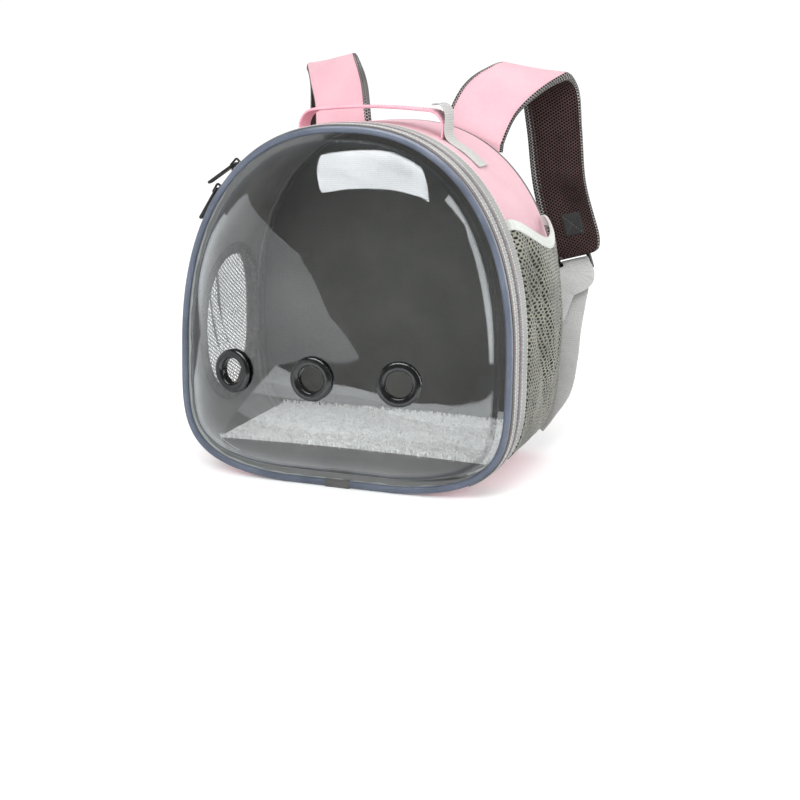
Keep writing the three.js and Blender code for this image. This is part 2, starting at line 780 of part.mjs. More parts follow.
// The buckle's own frame, behind the end of the pad: across it, up along the pad, and out towards the pack.
const padToBuckle = strapThickness / 2 + 2 * gap + webbingThickness + ease + buckleThickness / 2;
const buckleFrame = (() => {
  const end = strapFrames.at(-1);
  const up = end.along.clone().negate();
  const out = end.across.clone().cross(up);
  const middle = end.centre.clone().addScaledVector(up, buckleOverlap - buckleHeight / 2);
  return new THREE.Matrix4().makeBasis(end.across, up, out).setPosition(middle.addScaledVector(out, -padToBuckle));
})();
const onBuckle = (across, up, out) => point(across, up, out).applyMatrix4(buckleFrame);
const buckleAcross = point(1, 0, 0).transformDirection(buckleFrame);
const buckleTop = buckleHeight / 2;
const slotHeight = (buckleHeight - 4 * buckleBar) / 3;
const slotMiddles = [0, 1, 2].map((row) => buckleTop - buckleBar - slotHeight / 2 - row * (slotHeight + buckleBar));
const bearing = buckleThickness / 2 + gap + webbingThickness / 2; // webbing lying on the buckle's face

// The padded strap, with the loop of webbing at its end that holds the buckle's top bar.
function strapPad() {
  const pad = loft(strapFrames.map(({ centre, across, through, half }) =>
    padSection.map(([u, v]) =>
      centre.clone().addScaledVector(across, u * half).addScaledVector(through, (v * strapThickness) / 2))));
  const side = bearing + ease;
  const sewnOut = padToBuckle - strapThickness / 2 + webbingThickness;
  const route = [
    onBuckle(0, buckleTop + 4 * buckleBar, sewnOut),
    onBuckle(0, buckleTop + 2 * buckleBar, 0),
    onBuckle(0, buckleTop, -side),
    onBuckle(0, buckleTop - buckleBar, -side),
    onBuckle(0, slotMiddles[0], -side * 0.7),
    onBuckle(0, slotMiddles[0], side * 0.7),
    onBuckle(0, buckleTop - buckleBar, side),
    onBuckle(0, buckleTop + buckleBar / 2, side),
    onBuckle(0, buckleTop + 2 * buckleBar, sewnOut),
  ];
  return joined(pad, strip(route, route.map(() => buckleAcross), webbingWidth, webbingThickness));
}

function buckle() {
  const outline = new THREE.Shape();
  const halfW = buckleWidth / 2;
  const chamfer = 4;
  outline.moveTo(-halfW, buckleTop - chamfer);
  outline.lineTo(-halfW + chamfer, buckleTop);
  outline.lineTo(halfW - chamfer, buckleTop);
  outline.lineTo(halfW, buckleTop - chamfer);
  outline.lineTo(halfW, -buckleTop + chamfer);
  outline.lineTo(halfW - chamfer, -buckleTop);
  outline.lineTo(-halfW + chamfer, -buckleTop);
  outline.lineTo(-halfW, -buckleTop + chamfer);
  outline.closePath();
  const plate = new THREE.ExtrudeGeometry(outline, { depth: buckleThickness, bevelEnabled: false });
  plate.translate(0, 0, -buckleThickness / 2);
  const slots = slotMiddles.map((middle) =>
    new THREE.BoxGeometry(webbingWidth + 1, slotHeight, 4 * buckleThickness).translate(0, middle, 0));
  return cutAway(plate, ...slots).applyMatrix4(buckleFrame);
}

// Each row: out, as a share of the half width; back, as a share of the strap's reach; up, as a share
// of the crest's height; yaw of the width, in degrees.
const webbingRows = [
  { out: 0.827, back: -0.026, up: 0.033, yaw: 0 },
  { out: 0.935, back: 0.017, up: 0.087, yaw: 0 },
  { out: 1.013, back: 0.151, up: 0.152, yaw: 4 },
  { out: 1.02, back: 0.371, up: 0.228, yaw: 10 },
  { out: 1.005, back: 0.566, up: 0.298, yaw: 16 },
  { out: 0.997, back: 0.761, up: 0.374, yaw: 24 },
];
const tailRows = [
  { out: 0.94, back: 0.66, up: 0.415, yaw: 36 },
  { out: 0.893, back: 0.5, up: 0.355, yaw: 24 },
  { out: 0.85, back: 0.35, up: 0.304, yaw: 10 },
  { out: 0.82, back: 0.24, up: 0.247, yaw: 6 },
];

// Webbing from the foot of the back, up behind the buckle, over its third bar and down again as a free tail.
function webbing() {
  const placed = (rows) => rows.map((row) => ({
    place: point(halfWidth * row.out, strapBase + strapReach * row.back, strapCrest * row.up),
    width: widthWay(row.yaw, 0),
  }));
  const turn = slotMiddles[1];
  const shoulder = turn - slotHeight / 4;
  const overBar = [
    [-buckleTop - gap, -bearing - 4 * ease],
    [shoulder - buckleBar, -bearing - ease],
    [shoulder, -bearing],
    [turn, 0],
    [shoulder, bearing],
    [shoulder - buckleBar, bearing + ease],
    [-buckleTop - gap, bearing + 4 * ease],
  ].map(([up, out]) => ({ place: onBuckle(0, up, out), width: buckleAcross }));
  const path = [...placed(webbingRows), ...overBar, ...placed(tailRows)];
  const steps = 2 * (path.length - 1);
  const widths = smooth(path.map((row) => row.width), steps).map((width) => width.normalize());
  return strip(smooth(path.map((row) => row.place), steps), widths, webbingWidth, webbingThickness);
}

// Zip sliders and pulls, drawn with x down the zip, y away from the tape and z along the pull's hinge

const hingeHeight = bandOffset + tapeThickness + zipRidgeRise + gap + sliderThickness + bridgeClear;

function slider() {
  const halfL = sliderLength / 2;
  const base = -bridgeClear - sliderThickness;
  const body = new THREE.Shape();
  body.moveTo(-halfL, base);
  body.lineTo(halfL, base);
  body.lineTo(halfL, -bridgeClear - 1);
  body.lineTo(halfL - 1, -bridgeClear);
  body.lineTo(-halfL + 1, -bridgeClear);
  body.lineTo(-halfL, -bridgeClear - 1);
  body.closePath();
  const block = new THREE.ExtrudeGeometry(body, { depth: sliderWidth, bevelEnabled: false });
  block.translate(0, 0, -sliderWidth / 2);
  const reach = bridgeLength / 2;
  const roof = bridgeClear + bridgeRoof;
  const hoop = new THREE.Shape();
  hoop.moveTo(-reach, -bridgeClear - 1);
  hoop.lineTo(-reach + bridgeLeg, -bridgeClear - 1);
  hoop.lineTo(-reach + bridgeLeg, bridgeClear - 0.5);
  hoop.lineTo(-reach + bridgeLeg + 0.5, bridgeClear);
  hoop.lineTo(reach - bridgeLeg - 0.5, bridgeClear);
  hoop.lineTo(reach - bridgeLeg, bridgeClear - 0.5);
  hoop.lineTo(reach - bridgeLeg, -bridgeClear - 1);
  hoop.lineTo(reach, -bridgeClear - 1);
  hoop.lineTo(reach, roof - 1);
  hoop.lineTo(reach - 1, roof);
  hoop.lineTo(-reach + 1, roof);
  hoop.lineTo(-reach, roof - 1);
  hoop.closePath();
  const bridge = new THREE.ExtrudeGeometry(hoop, { depth: bridgeWidth, bevelEnabled: false });
  bridge.translate(0, 0, -bridgeWidth / 2);
  return joined(block, bridge);
}

function pull() {
  const bar = pullThickness / 2;
  const start = -bar;
  const end = start + pullLength;
  const half = pullWidth / 2;
  const round = pullWidth * 0.21;
  const outline = new THREE.Shape();
  outline.moveTo(start, -half + round);
  outline.lineTo(start + round / 2, -half);
  outline.lineTo(end - round, -half);
  outline.lineTo(end, -half + round);
  outline.lineTo(end, half - round);
  outline.lineTo(end - round, half);
  outline.lineTo(start + round / 2, half);
  outline.lineTo(start, half - round);
  outline.closePath();
  const plate = new THREE.ExtrudeGeometry(outline, { depth: pullThickness, bevelEnabled: false });
  plate.translate(0, 0, -pullThickness / 2);
  const opening = (from, length, width) =>
    new THREE.BoxGeometry(length, width, 4 * pullThickness).translate(from + length / 2, 0, 0);
  const cut = cutAway(
    plate,
    opening(bar, pullEyeLength, pullEyeWidth),
    opening(end - pullSlotLength - pullThickness, pullSlotLength, pullWidth / 2),
  );
  return cut.applyMatrix4(new THREE.Matrix4().makeBasis(point(1, 0, 0), point(0, 0, 1), point(0, -1, 0)));
}

// A slider's place on the left of the zip, turned so that its x runs down the zip.
function sliderFrame(share) {
  const spot = rimAt(share, hingeHeight);
  const down = point(-spot.nz, 0, spot.nx).negate();
  const frame = new THREE.Group();
  const out = point(spot.nx, 0, spot.nz);
  if (down.z > 0) down.negate();
  const side = down.clone().cross(out);
  frame.matrix.makeBasis(down, out, side);
  frame.matrix.setPosition(spot.x, rimPlane(spot.z) + zipMiddle, spot.z);
  frame.matrix.decompose(frame.position, frame.quaternion, frame.scale);
  return frame;
}

function zipPair(label, share, lift) {
  const frame = sliderFrame(share);
  frame.add(named(`zip_slider_${label}`, slider(), blackPlastic));
  const tab = named(`zip_pull_${label}`, pull(), blackPlastic);
  tab.rotation.z = THREE.MathUtils.degToRad(lift);
  frame.add(tab);
  return frame;
}

// Assembly

const part = new THREE.Group();
const door = new THREE.Group();
const body = new THREE.Group();
const harness = new THREE.Group();
part.add(door, body, harness);
part.position.setY(-bodyDepth / 2);

const vents = [["left", -ventSpacing], ["middle", 0], ["right", ventSpacing]];
door.add(named("bubble", bubble(vents.map(([, x]) => x)), clear));
for (const [label, x] of vents) {
  const ring = grommet().applyMatrix4(ventFrame(x));
  door.add(named(`vent_grommet_${label}`, ring, blackPlastic));
}
door.add(named("rim_piping", piping(), blueGrey));
const sleeve = pipingSleeve();
door.add(named("piping_sleeve", rimBand(sleeve.section, -sleeve.half, sleeve.half), midGrey));
const bandEnd = 1 - bandStart;
door.add(named("front_tape", rimBand(flatBand(frontTapeStart, zipStart - gap), bandStart, bandEnd), lightGrey));

body.add(named("wall", wall(), pink));
body.add(named("back_panel", backPanel(), darkMesh));
body.add(named("zip_chain", rimBand(zipSection(), bandStart, bandEnd), midGrey));
body.add(named("rear_tape", rimBand(flatBand(rearTapeStart, rearTapeEnd), bandStart, bandEnd), lightGrey));
body.add(named("fleece_pad", fleecePad(), white));
body.add(named("top_handle", handle(), pink));
body.add(named("ribbon_tab", ribbon(), lightGrey));

const upperShare = 1 - shareAtHeight(upperSliderHeight);
body.add(zipPair("upper", upperShare, upperPullLift));
body.add(zipPair("lower", upperShare + sliderSpacing / rimLength, 0));

const sidePieces = [
  ["window_net", windowNet(), white, body],
  ["side_pocket", pocket(), oliveMesh, body],
  ["pocket_binding", pocketBinding(), lightGrey, body],
  ["strap_pad", strapPad(), pink, harness],
  ["strap_buckle", buckle(), blackPlastic, harness],
  ["strap_webbing", webbing(), midGrey, harness],
];
for (const [name, geometry, look, group] of sidePieces) {
  const whole = geometry.index ? geometry : mergeVertices(geometry.deleteAttribute("normal").deleteAttribute("uv"));
  group.add(named(`${name}_right`, whole, look));
  group.add(named(`${name}_left`, mirrorX(whole), look));
}

export default part;
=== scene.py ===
# The looks of a bubble pet carrier backpack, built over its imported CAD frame.
# Sizes are in millimetres in the code and in metres in Blender. +X right, +Y to the wearer, +Z up.
import math

import bmesh
import bpy
import numpy as np
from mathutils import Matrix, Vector


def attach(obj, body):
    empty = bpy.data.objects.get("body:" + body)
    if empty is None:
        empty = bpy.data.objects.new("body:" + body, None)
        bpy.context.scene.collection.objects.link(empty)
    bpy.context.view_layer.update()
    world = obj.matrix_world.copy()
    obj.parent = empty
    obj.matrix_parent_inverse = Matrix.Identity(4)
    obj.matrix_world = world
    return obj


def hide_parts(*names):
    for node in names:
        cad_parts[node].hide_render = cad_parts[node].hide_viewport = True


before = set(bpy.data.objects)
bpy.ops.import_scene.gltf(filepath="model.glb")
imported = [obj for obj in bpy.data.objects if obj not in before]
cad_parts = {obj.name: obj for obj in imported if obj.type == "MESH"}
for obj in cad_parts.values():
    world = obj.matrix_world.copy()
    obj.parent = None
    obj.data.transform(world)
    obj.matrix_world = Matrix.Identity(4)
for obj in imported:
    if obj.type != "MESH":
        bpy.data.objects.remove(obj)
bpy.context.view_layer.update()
MM = 0.001
PACK = "pack"
ORIGIN = np.array([0.0, 86.0, 0.0])  # the frame's origin, measured from the foot of the rim

# Sizes shared with the CAD
HALF_WIDTH, RIM_HEIGHT, WIDEST = 150.0, 305.0, 113.0
LOWER_SIDE, LOWER_FOOT, UPPER_SIDE, UPPER_TOP = 3.27, 4.45, 2.32, 2.25
FOOT_RISE, RIM_LEAN, BODY_DEPTH, GAP = 0.8, 0.046, 172.0, 0.3
WALL, BACK, BACK_RISE, BACK_MARGIN, PIPE = 3.0, 6.0, 5.0, 19.0, 3.0
SKIN = PIPE + GAP
INNER = SKIN - WALL
BAND = SKIN + GAP
BACK_FACE = BODY_DEPTH - BACK
FRONT_TAPE = (SKIN + GAP, SKIN + GAP + 10)
ZIP = (FRONT_TAPE[1] + GAP, FRONT_TAPE[1] + GAP + 10)
REAR_TAPE = (ZIP[1] + GAP, ZIP[1] + GAP + 18)
ZIP_MIDDLE = ZIP[0] + 5
BAND_START = 0.115
BUBBLE_DEPTH, BUBBLE_SHEET, BUBBLE_FLANGE, BUBBLE_CENTRE = 61.0, 1.2, 5.0, 135.0
BUBBLE_ROUND, BUBBLE_STEEP = 3.2, 0.75
VENT_Z, VENT_X, VENT_BORE, VENT_NECK, VENT_FLANGE, VENT_SEAT = 108.0, 73.7, 11.0, 13.0, 18.5, 1.2
WINDOW_Y, WINDOW_Z, WINDOW_HALF_Y, WINDOW_HALF_Z, WINDOW_ROUND = 90.0, 122.0, 46.0, 66.0, 2.2


# The rim line
def rim_table():
    steps = 1440
    turn = np.pi - 2 * np.pi * np.arange(steps + 1) / steps
    across, upward = np.sin(turn), np.cos(turn)
    upper = upward >= 0
    side = np.where(upper, UPPER_SIDE, LOWER_SIDE)
    end = np.where(upper, UPPER_TOP, LOWER_FOOT)
    reach = np.where(upper, RIM_HEIGHT - WIDEST, -WIDEST)
    x = HALF_WIDTH * np.sign(across) * np.abs(across) ** (2 / side)
    curved = WIDEST + reach * np.abs(upward) ** (2 / end)
    z = (np.maximum(curved, FOOT_RISE) - FOOT_RISE) * (RIM_HEIGHT / (RIM_HEIGHT - FOOT_RISE)) + SKIN
    length = np.concatenate([[0], np.cumsum(np.hypot(np.diff(x), np.diff(z)))])
    return x, z, length


RIM_X, RIM_Z, RIM_AT = rim_table()
RIM_LENGTH = RIM_AT[-1]


def rim_spot(share):
    at = np.mod(share, 1.0) * RIM_LENGTH
    return np.interp(at, RIM_AT, RIM_X), np.interp(at, RIM_AT, RIM_Z)


def rim(share, offset=0.0):
    """x, z and the outward normal of the rim line at shares of its length, moved out by offset."""
    share = np.asarray(share, float)
    (bx, bz), (ax, az), (x, z) = rim_spot(share - 0.004), rim_spot(share + 0.004), rim_spot(share)
    run = np.hypot(ax - bx, az - bz)
    nx, nz = (az - bz) / run, -(ax - bx) / run
    return x + nx * offset, z + nz * offset, nx, nz


def share_at(height):
    at = np.argmax((RIM_X > 0) & (RIM_Z >= height))
    return RIM_AT[at] / RIM_LENGTH


def side_x(height, offset):
    shares = np.linspace(0.05, 0.49, 400)
    x, z, _, _ = rim(shares, offset)
    return np.interp(height, z, x)


def unit(vectors):
    return vectors / np.maximum(np.linalg.norm(vectors, axis=-1, keepdims=True), 1e-9)


def lengths(points):
    """How far along a row of points each of them lies."""
    return np.concatenate([[0], np.cumsum(np.linalg.norm(np.diff(points, axis=0), axis=1))])


# Meshes
def placed(name, data):
    item = bpy.data.objects.new(name, data)
    bpy.context.scene.collection.objects.link(item)
    return item


def fasten(piece, body=PACK):
    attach(piece, body)


def new_object(name, verts, faces, uvs=None, slots=None, looks=(), smooth=40.0, weld=False):
    mesh = bpy.data.meshes.new(name)
    mesh.from_pydata([tuple(v) for v in (np.asarray(verts, float) - ORIGIN) * MM], [],
                     [tuple(f) for f in faces])
    if uvs is not None:
        layer = mesh.uv_layers.new(name="UVMap")
        flat = np.asarray(uvs, float)[np.concatenate([np.asarray(f) for f in faces])]
        layer.data.foreach_set("uv", flat.reshape(-1).astype(np.float32))
    for look in looks:
        mesh.materials.append(look.material)
    if slots is not None:
        mesh.polygons.foreach_set("material_index", np.asarray(slots, np.int32))
    work = bmesh.new()
    work.from_mesh(mesh)
    if weld:
        bmesh.ops.remove_doubles(work, verts=work.verts, dist=1e-6)
    bmesh.ops.recalc_face_normals(work, faces=work.faces)
    work.to_mesh(mesh)
    work.free()
    mesh.shade_smooth()
    mesh.set_sharp_from_angle(angle=math.radians(smooth))
    return placed(name, mesh)


def grid_faces(us, vs, start=0, flip=False):
    i, j = np.meshgrid(np.arange(us - 1), np.arange(vs - 1), indexing="ij")
    a = start + i * vs + j
    quad = np.stack([a, a + vs, a + vs + 1, a + 1], -1).reshape(-1, 4)
    return quad[:, ::-1] if flip else quad


def shell(name, outer, inner, uv, closed=False, looks=(), slots=(0, 0, 0), smooth=40.0):
    """A sheet between two grids of points. Slots are those of its outside, its inside and its edges."""
    us, vs = outer.shape[:2]
    half = us * vs
    faces, index = [], []

    def put(quads, slot):
        faces.extend(quads.tolist())
        index.extend([slot] * len(quads))

    put(grid_faces(us, vs), slots[0])
    put(grid_faces(us, vs, half, True), slots[1])
    u, v = np.arange(us - 1), np.arange(vs - 1)
    put(np.stack([u * vs, u * vs + half, (u + 1) * vs + half, (u + 1) * vs], -1), slots[2])
    last = vs - 1
    put(np.stack([u * vs + last, (u + 1) * vs + last, (u + 1) * vs + last + half, u * vs + last + half], -1),
        slots[2])
    if not closed:
        for row in (0, (us - 1) * vs):
            put(np.stack([row + v, row + v + 1, row + v + 1 + half, row + v + half], -1), slots[2])
    verts = np.concatenate([outer.reshape(-1, 3), inner.reshape(-1, 3)])
    uvs = np.concatenate([uv.reshape(-1, 2)] * 2)
    return new_object(name, verts, faces, uvs, index, looks, smooth, weld=closed)


def loft(name, sections, uv=None, closed=False, looks=(), slots=None, smooth=40.0):
    """A solid through a row of closed sections, capped at both ends if the row is open."""
    count, size = sections.shape[:2]
    ring = np.concatenate([sections, sections[:, :1]], 1)
    if uv is None:
        along = lengths(ring.mean(1))
        round_ = lengths(ring[count // 2])
        uv = np.stack(np.meshgrid(along, round_, indexing="ij"), -1)
    faces = grid_faces(count, size + 1).tolist()
    index = list(np.tile(slots if slots is not None else np.zeros(size, int), count - 1))
    if not closed:
        faces += [list(range(size))[::-1], [(count - 1) * (size + 1) + k for k in range(size)]]
        index += [0, 0]
    return new_object(name, ring.reshape(-1, 3), faces, uv.reshape(-1, 2), index, looks, smooth, weld=True)


def catmull(points, ts):
    """The CAD's own smooth curve through a row of points, read at shares of the row."""
    p = np.asarray(points, float)
    p = np.vstack([2 * p[0] - p[1], p, 2 * p[-1] - p[-2]])
    rows = len(p) - 2
    out = []
    for t in ts:
        place = (rows - 1) * t
        at = min(int(place), rows - 2)
        w = place - at
        q = p[at:at + 4]
        gaps = [float(np.sum((q[k + 1] - q[k]) ** 2)) ** 0.25 for k in range(3)]
        middle = gaps[1] if gaps[1] > 1e-4 else 1.0
        first, third = (g if g > 1e-4 else middle for g in (gaps[0], gaps[2]))
        t1 = ((q[1] - q[0]) / first - (q[2] - q[0]) / (first + middle) + (q[2] - q[1]) / middle) * middle
        t2 = ((q[2] - q[1]) / middle - (q[3] - q[1]) / (middle + third) + (q[3] - q[2]) / third) * middle
        c2 = -3 * q[1] + 3 * q[2] - 2 * t1 - t2
        c3 = 2 * q[1] - 2 * q[2] + t1 + t2
        out.append(q[1] + w * (t1 + w * (c2 + w * c3)))
    return np.array(out)


def wave_noise(points, scale, seed):
    """Smooth noise from -1 to 1 made of a few sine waves, the same on each run."""
    source = np.random.default_rng(seed)
    total = np.zeros(points.shape[:-1])
    for _ in range(7):
        way = unit(source.normal(size=points.shape[-1]))
        total += np.sin(points @ way * (2 * np.pi / scale) * source.uniform(0.6, 1.6)
                        + source.uniform(0, 6.3))
    return total / 4


def add_tube(verts, faces, rings):
    """Adds a closed tube through rings of as many points each."""
    start, sides, last = len(verts), len(rings[0]), len(rings) - 1
    for ring in rings:
        verts.extend(ring)
    for at in range(start, start + last * sides, sides):
        for k in range(sides):
            a, b = at + k, at + (k + 1) % sides
            faces.append((a, b, b + sides, a + sides))
    faces.append(tuple(start + k for k in range(sides))[::-1])
    faces.append(tuple(start + last * sides + k for k in range(sides)))


FLATNESS = 0.7  # a stitch's height to its width


def stitches(name, runs, look, length=2.3, pitch=3.3, width=0.32, sides=6):
    """Rows of raised thread along (points, normals) runs, joined in one mesh."""
    rings = [(-1.0, 0.05), (-0.72, 0.75), (0.0, 1.0), (0.72, 0.75), (1.0, 0.05)]
    turns = [2 * np.pi * k / sides for k in range(sides)]
    verts, faces = [], []
    for points, normals in runs:
        at = lengths(points)
        for middle in np.arange(pitch / 2, at[-1] - pitch / 3, pitch):
            here, ahead = (np.array([np.interp(m, at, points[:, k]) for k in range(3)])
                           for m in (middle, middle + 0.5))
            normal = unit(np.array([np.interp(middle, at, normals[:, k]) for k in range(3)]))
            along = unit(ahead - here)
            across = np.cross(along, normal)
            spreads = [across * math.cos(turn) * width + normal * math.sin(turn) * width * FLATNESS
                       for turn in turns]
            add_tube(verts, faces, [[here + along * place * length / 2 + spread * size
                                     for spread in spreads] for place, size in rings])
    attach(new_object(name, verts, faces, looks=[look], smooth=80), PACK)


# Materials
class Look:
    """A procedural material with one Principled shader. Its UV map is in millimetres along the cloth."""

    def __init__(self, name, **values):
        self.material = bpy.data.materials.new(name)
        self.material.use_nodes = True
        self.tree = self.material.node_tree
        self.tree.nodes.clear()
        self.out = self.add("ShaderNodeOutputMaterial")
        self.shader = self.add("ShaderNodeBsdfPrincipled", **values)
        self.link(self.shader.outputs["BSDF"], self.out.inputs["Surface"])

    def add(self, kind, **values):
        node = self.tree.nodes.new(kind)
        for key, value in values.items():
            node.inputs[key.replace("_", " ")].default_value = value
        return node

    def link(self, a, b):
        self.tree.links.new(a, b)

    def calc(self, operation, a, b=None, clamp=False):
        node = self.add("ShaderNodeMath")
        node.operation, node.use_clamp = operation, clamp
        for at, value in enumerate((a, b)):
            if isinstance(value, (int, float)):
                node.inputs[at].default_value = value
            elif value is not None:
                self.link(value, node.inputs[at])
        return node.outputs[0]

    def weigh(self, *parts):
        """The sum of each value times its weight."""
        total = None
        for value, weight in parts:
            part = self.calc("MULTIPLY", value, weight)
            total = part if total is None else self.calc("ADD", total, part)
        return total

    def surface(self, factor, first, second):
        """One shader where the factor is 0 and the other where it is 1."""
        blend = self.add("ShaderNodeMixShader")
        for at, source in enumerate((factor, first.outputs[0], second.outputs[0])):
            self.link(source, blend.inputs[at])
        self.link(blend.outputs[0], self.out.inputs["Surface"])

    def mix(self, factor, a, b):
        node = self.add("ShaderNodeMix")
        node.data_type = "RGBA"
        self.link(factor, node.inputs[0])
        for at, value in ((6, a), (7, b)):
            if isinstance(value, tuple):
                node.inputs[at].default_value = (*value, 1)
            else:
                self.link(value, node.inputs[at])
        return node.outputs[2]

    def uv(self):
        split = self.add("ShaderNodeSeparateXYZ")
        self.link(self.add("ShaderNodeUVMap").outputs[0], split.inputs[0])
        return split.outputs[0], split.outputs[1]

    def noise(self, scale, detail=3.0, low=0.35, high=0.65):
        """Noise in the object's own space, spread to 0..1. Scale is in features to the metre."""
        place = self.add("ShaderNodeTexCoord").outputs["Object"]
        node = self.add("ShaderNodeTexNoise", Scale=scale, Detail=detail)
        self.link(place, node.inputs["Vector"])
        return self.spread(node.outputs[0], low, high)

    def spread(self, value, low, high, to_low=0.0, to_high=1.0):
        node = self.add("ShaderNodeMapRange")
        node.clamp = True
        self.link(value, node.inputs[0])
        for at, number in enumerate((low, high, to_low, to_high), 1):
            node.inputs[at].default_value = number
        return node.outputs[0]

    def weave(self, pitch_u, pitch_v):
        """Over and under threads: a height of 0..1."""
        u, v = self.uv()
        warp, weft = (self.calc("ABSOLUTE", self.calc("SINE", self.calc("MULTIPLY", c, math.pi / p)))
                      for c, p in ((u, pitch_u), (v, pitch_v)))
        signs = self.calc("MULTIPLY", *(self.calc("SINE", self.calc("MULTIPLY", c, math.pi / p))
                                        for c, p in ((u, pitch_u), (v, pitch_v))))
        over = self.spread(signs, -0.2, 0.2)
        return self.calc("ADD", self.calc("MULTIPLY", warp, over),
                         self.calc("MULTIPLY", weft, self.calc("SUBTRACT", 1.0, over)))

    def bump(self, height, distance, strength=1.0):
        node = self.add("ShaderNodeBump", Distance=distance * MM, Strength=strength)
        self.link(height, node.inputs["Height"])
        if self.shader.inputs["Normal"].is_linked:
            self.link(self.shader.inputs["Normal"].links[0].from_socket, node.inputs["Normal"])
        self.link(node.outputs[0], self.shader.inputs["Normal"])

    def color(self, value):
        self.link(value, self.shader.inputs["Base Color"])

    def roughness(self, value, low, high):
        self.link(self.spread(value, 0, 1, low, high), self.shader.inputs["Roughness"])


def cloth_look(name, light, dark, pitch=(0.9, 0.9), depth=0.12, sheen=0.15, shade=0.35, blotch=22.0):
    look = Look(name, Sheen_Weight=sheen, Sheen_Roughness=0.5, Specular_IOR_Level=0.25)
    threads = look.weave(*pitch)
    speckle = look.noise(900.0, 2.0)
    blotches = look.noise(blotch, 4.0)
    rest = (1 - shade) * 0.5
    tone = look.weigh((threads, shade), (speckle, rest), (blotches, rest))
    look.color(look.mix(tone, dark, light))
    look.roughness(speckle, 0.72, 0.95)
    look.bump(look.noise(45.0, 3.0), 0.5, 0.35)
    look.bump(threads, depth)
    return look


def gloss_look(name, color, worn, low, high, fine=0.05):
    look = Look(name, Specular_IOR_Level=0.5)
    marks = look.noise(260.0, 4.0, 0.4, 0.75)
    look.color(look.mix(marks, color, worn))
    look.roughness(look.noise(120.0, 3.0), low, high)
    look.bump(look.noise(1400.0, 2.0), fine, 0.5)
    return look


pink = cloth_look("pink_cloth", (0.65, 0.40, 0.445), (0.53, 0.29, 0.335), shade=0.3)
patch_look = cloth_look("strap_patch", (0.016, 0.014, 0.014), (0.004, 0.0035, 0.0035), pitch=(1.4, 1.4),
                        depth=0.2, sheen=0.02)
facing_look = cloth_look("window_facing", (0.15, 0.142, 0.13), (0.06, 0.056, 0.052), pitch=(1.6, 1.6),
                         blotch=60.0)
lining = cloth_look("grey_lining", (0.195, 0.188, 0.178), (0.10, 0.095, 0.09), pitch=(1.6, 1.6), blotch=34.0)
tape = cloth_look("pale_tape", (0.37, 0.375, 0.36), (0.07, 0.07, 0.068), pitch=(2.1, 2.1), depth=0.25,
                  shade=0.6)
binding_look = cloth_look("pocket_binding", (0.60, 0.62, 0.59), (0.36, 0.375, 0.35), pitch=(1.3, 1.3),
                          shade=0.5)
webbing_look = cloth_look("webbing", (0.50, 0.50, 0.49), (0.25, 0.25, 0.245), pitch=(2.0, 1.5), depth=0.3,
                          shade=0.5)
dark_cloth = cloth_look("dark_cloth", (0.115, 0.113, 0.105), (0.062, 0.061, 0.057), pitch=(1.8, 1.8),
                        depth=0.2)
zip_cloth = cloth_look("zip_cloth", (0.15, 0.135, 0.135), (0.03, 0.027, 0.027), pitch=(1.2, 1.2), shade=0.5)
black = gloss_look("black_plastic", (0.006, 0.006, 0.006), (0.014, 0.014, 0.014), 0.1, 0.24)
coil = gloss_look("zip_coil", (0.22, 0.19, 0.2), (0.38, 0.33, 0.34), 0.3, 0.5)
thread = gloss_look("pale_thread", (0.72, 0.72, 0.70), (0.5, 0.5, 0.49), 0.6, 0.85)
pink_thread = gloss_look("pink_thread", (0.80, 0.42, 0.49), (0.62, 0.28, 0.34), 0.6, 0.85)
dark_thread = gloss_look("dark_thread", (0.11, 0.11, 0.11), (0.05, 0.05, 0.05), 0.6, 0.85)


def piping_look():
    """Coated cloth round a cord: blue-grey with a fine speckle."""
    look = Look("piping", Specular_IOR_Level=0.5)
    speckle = look.noise(1500.0, 2.0)
    patches = look.noise(30.0, 4.0)
    tone = look.weigh((speckle, 0.5), (patches, 0.5))
    look.color(look.mix(tone, (0.05, 0.061, 0.088), (0.115, 0.134, 0.18)))
    look.roughness(speckle, 0.3, 0.5)
    look.bump(look.weave(0.9, 0.9), 0.05)
    look.bump(look.noise(60.0, 3.0), 0.4, 0.5)
    return look


HOLE_STRETCH = 1.3  # a knitted hole's height to its width


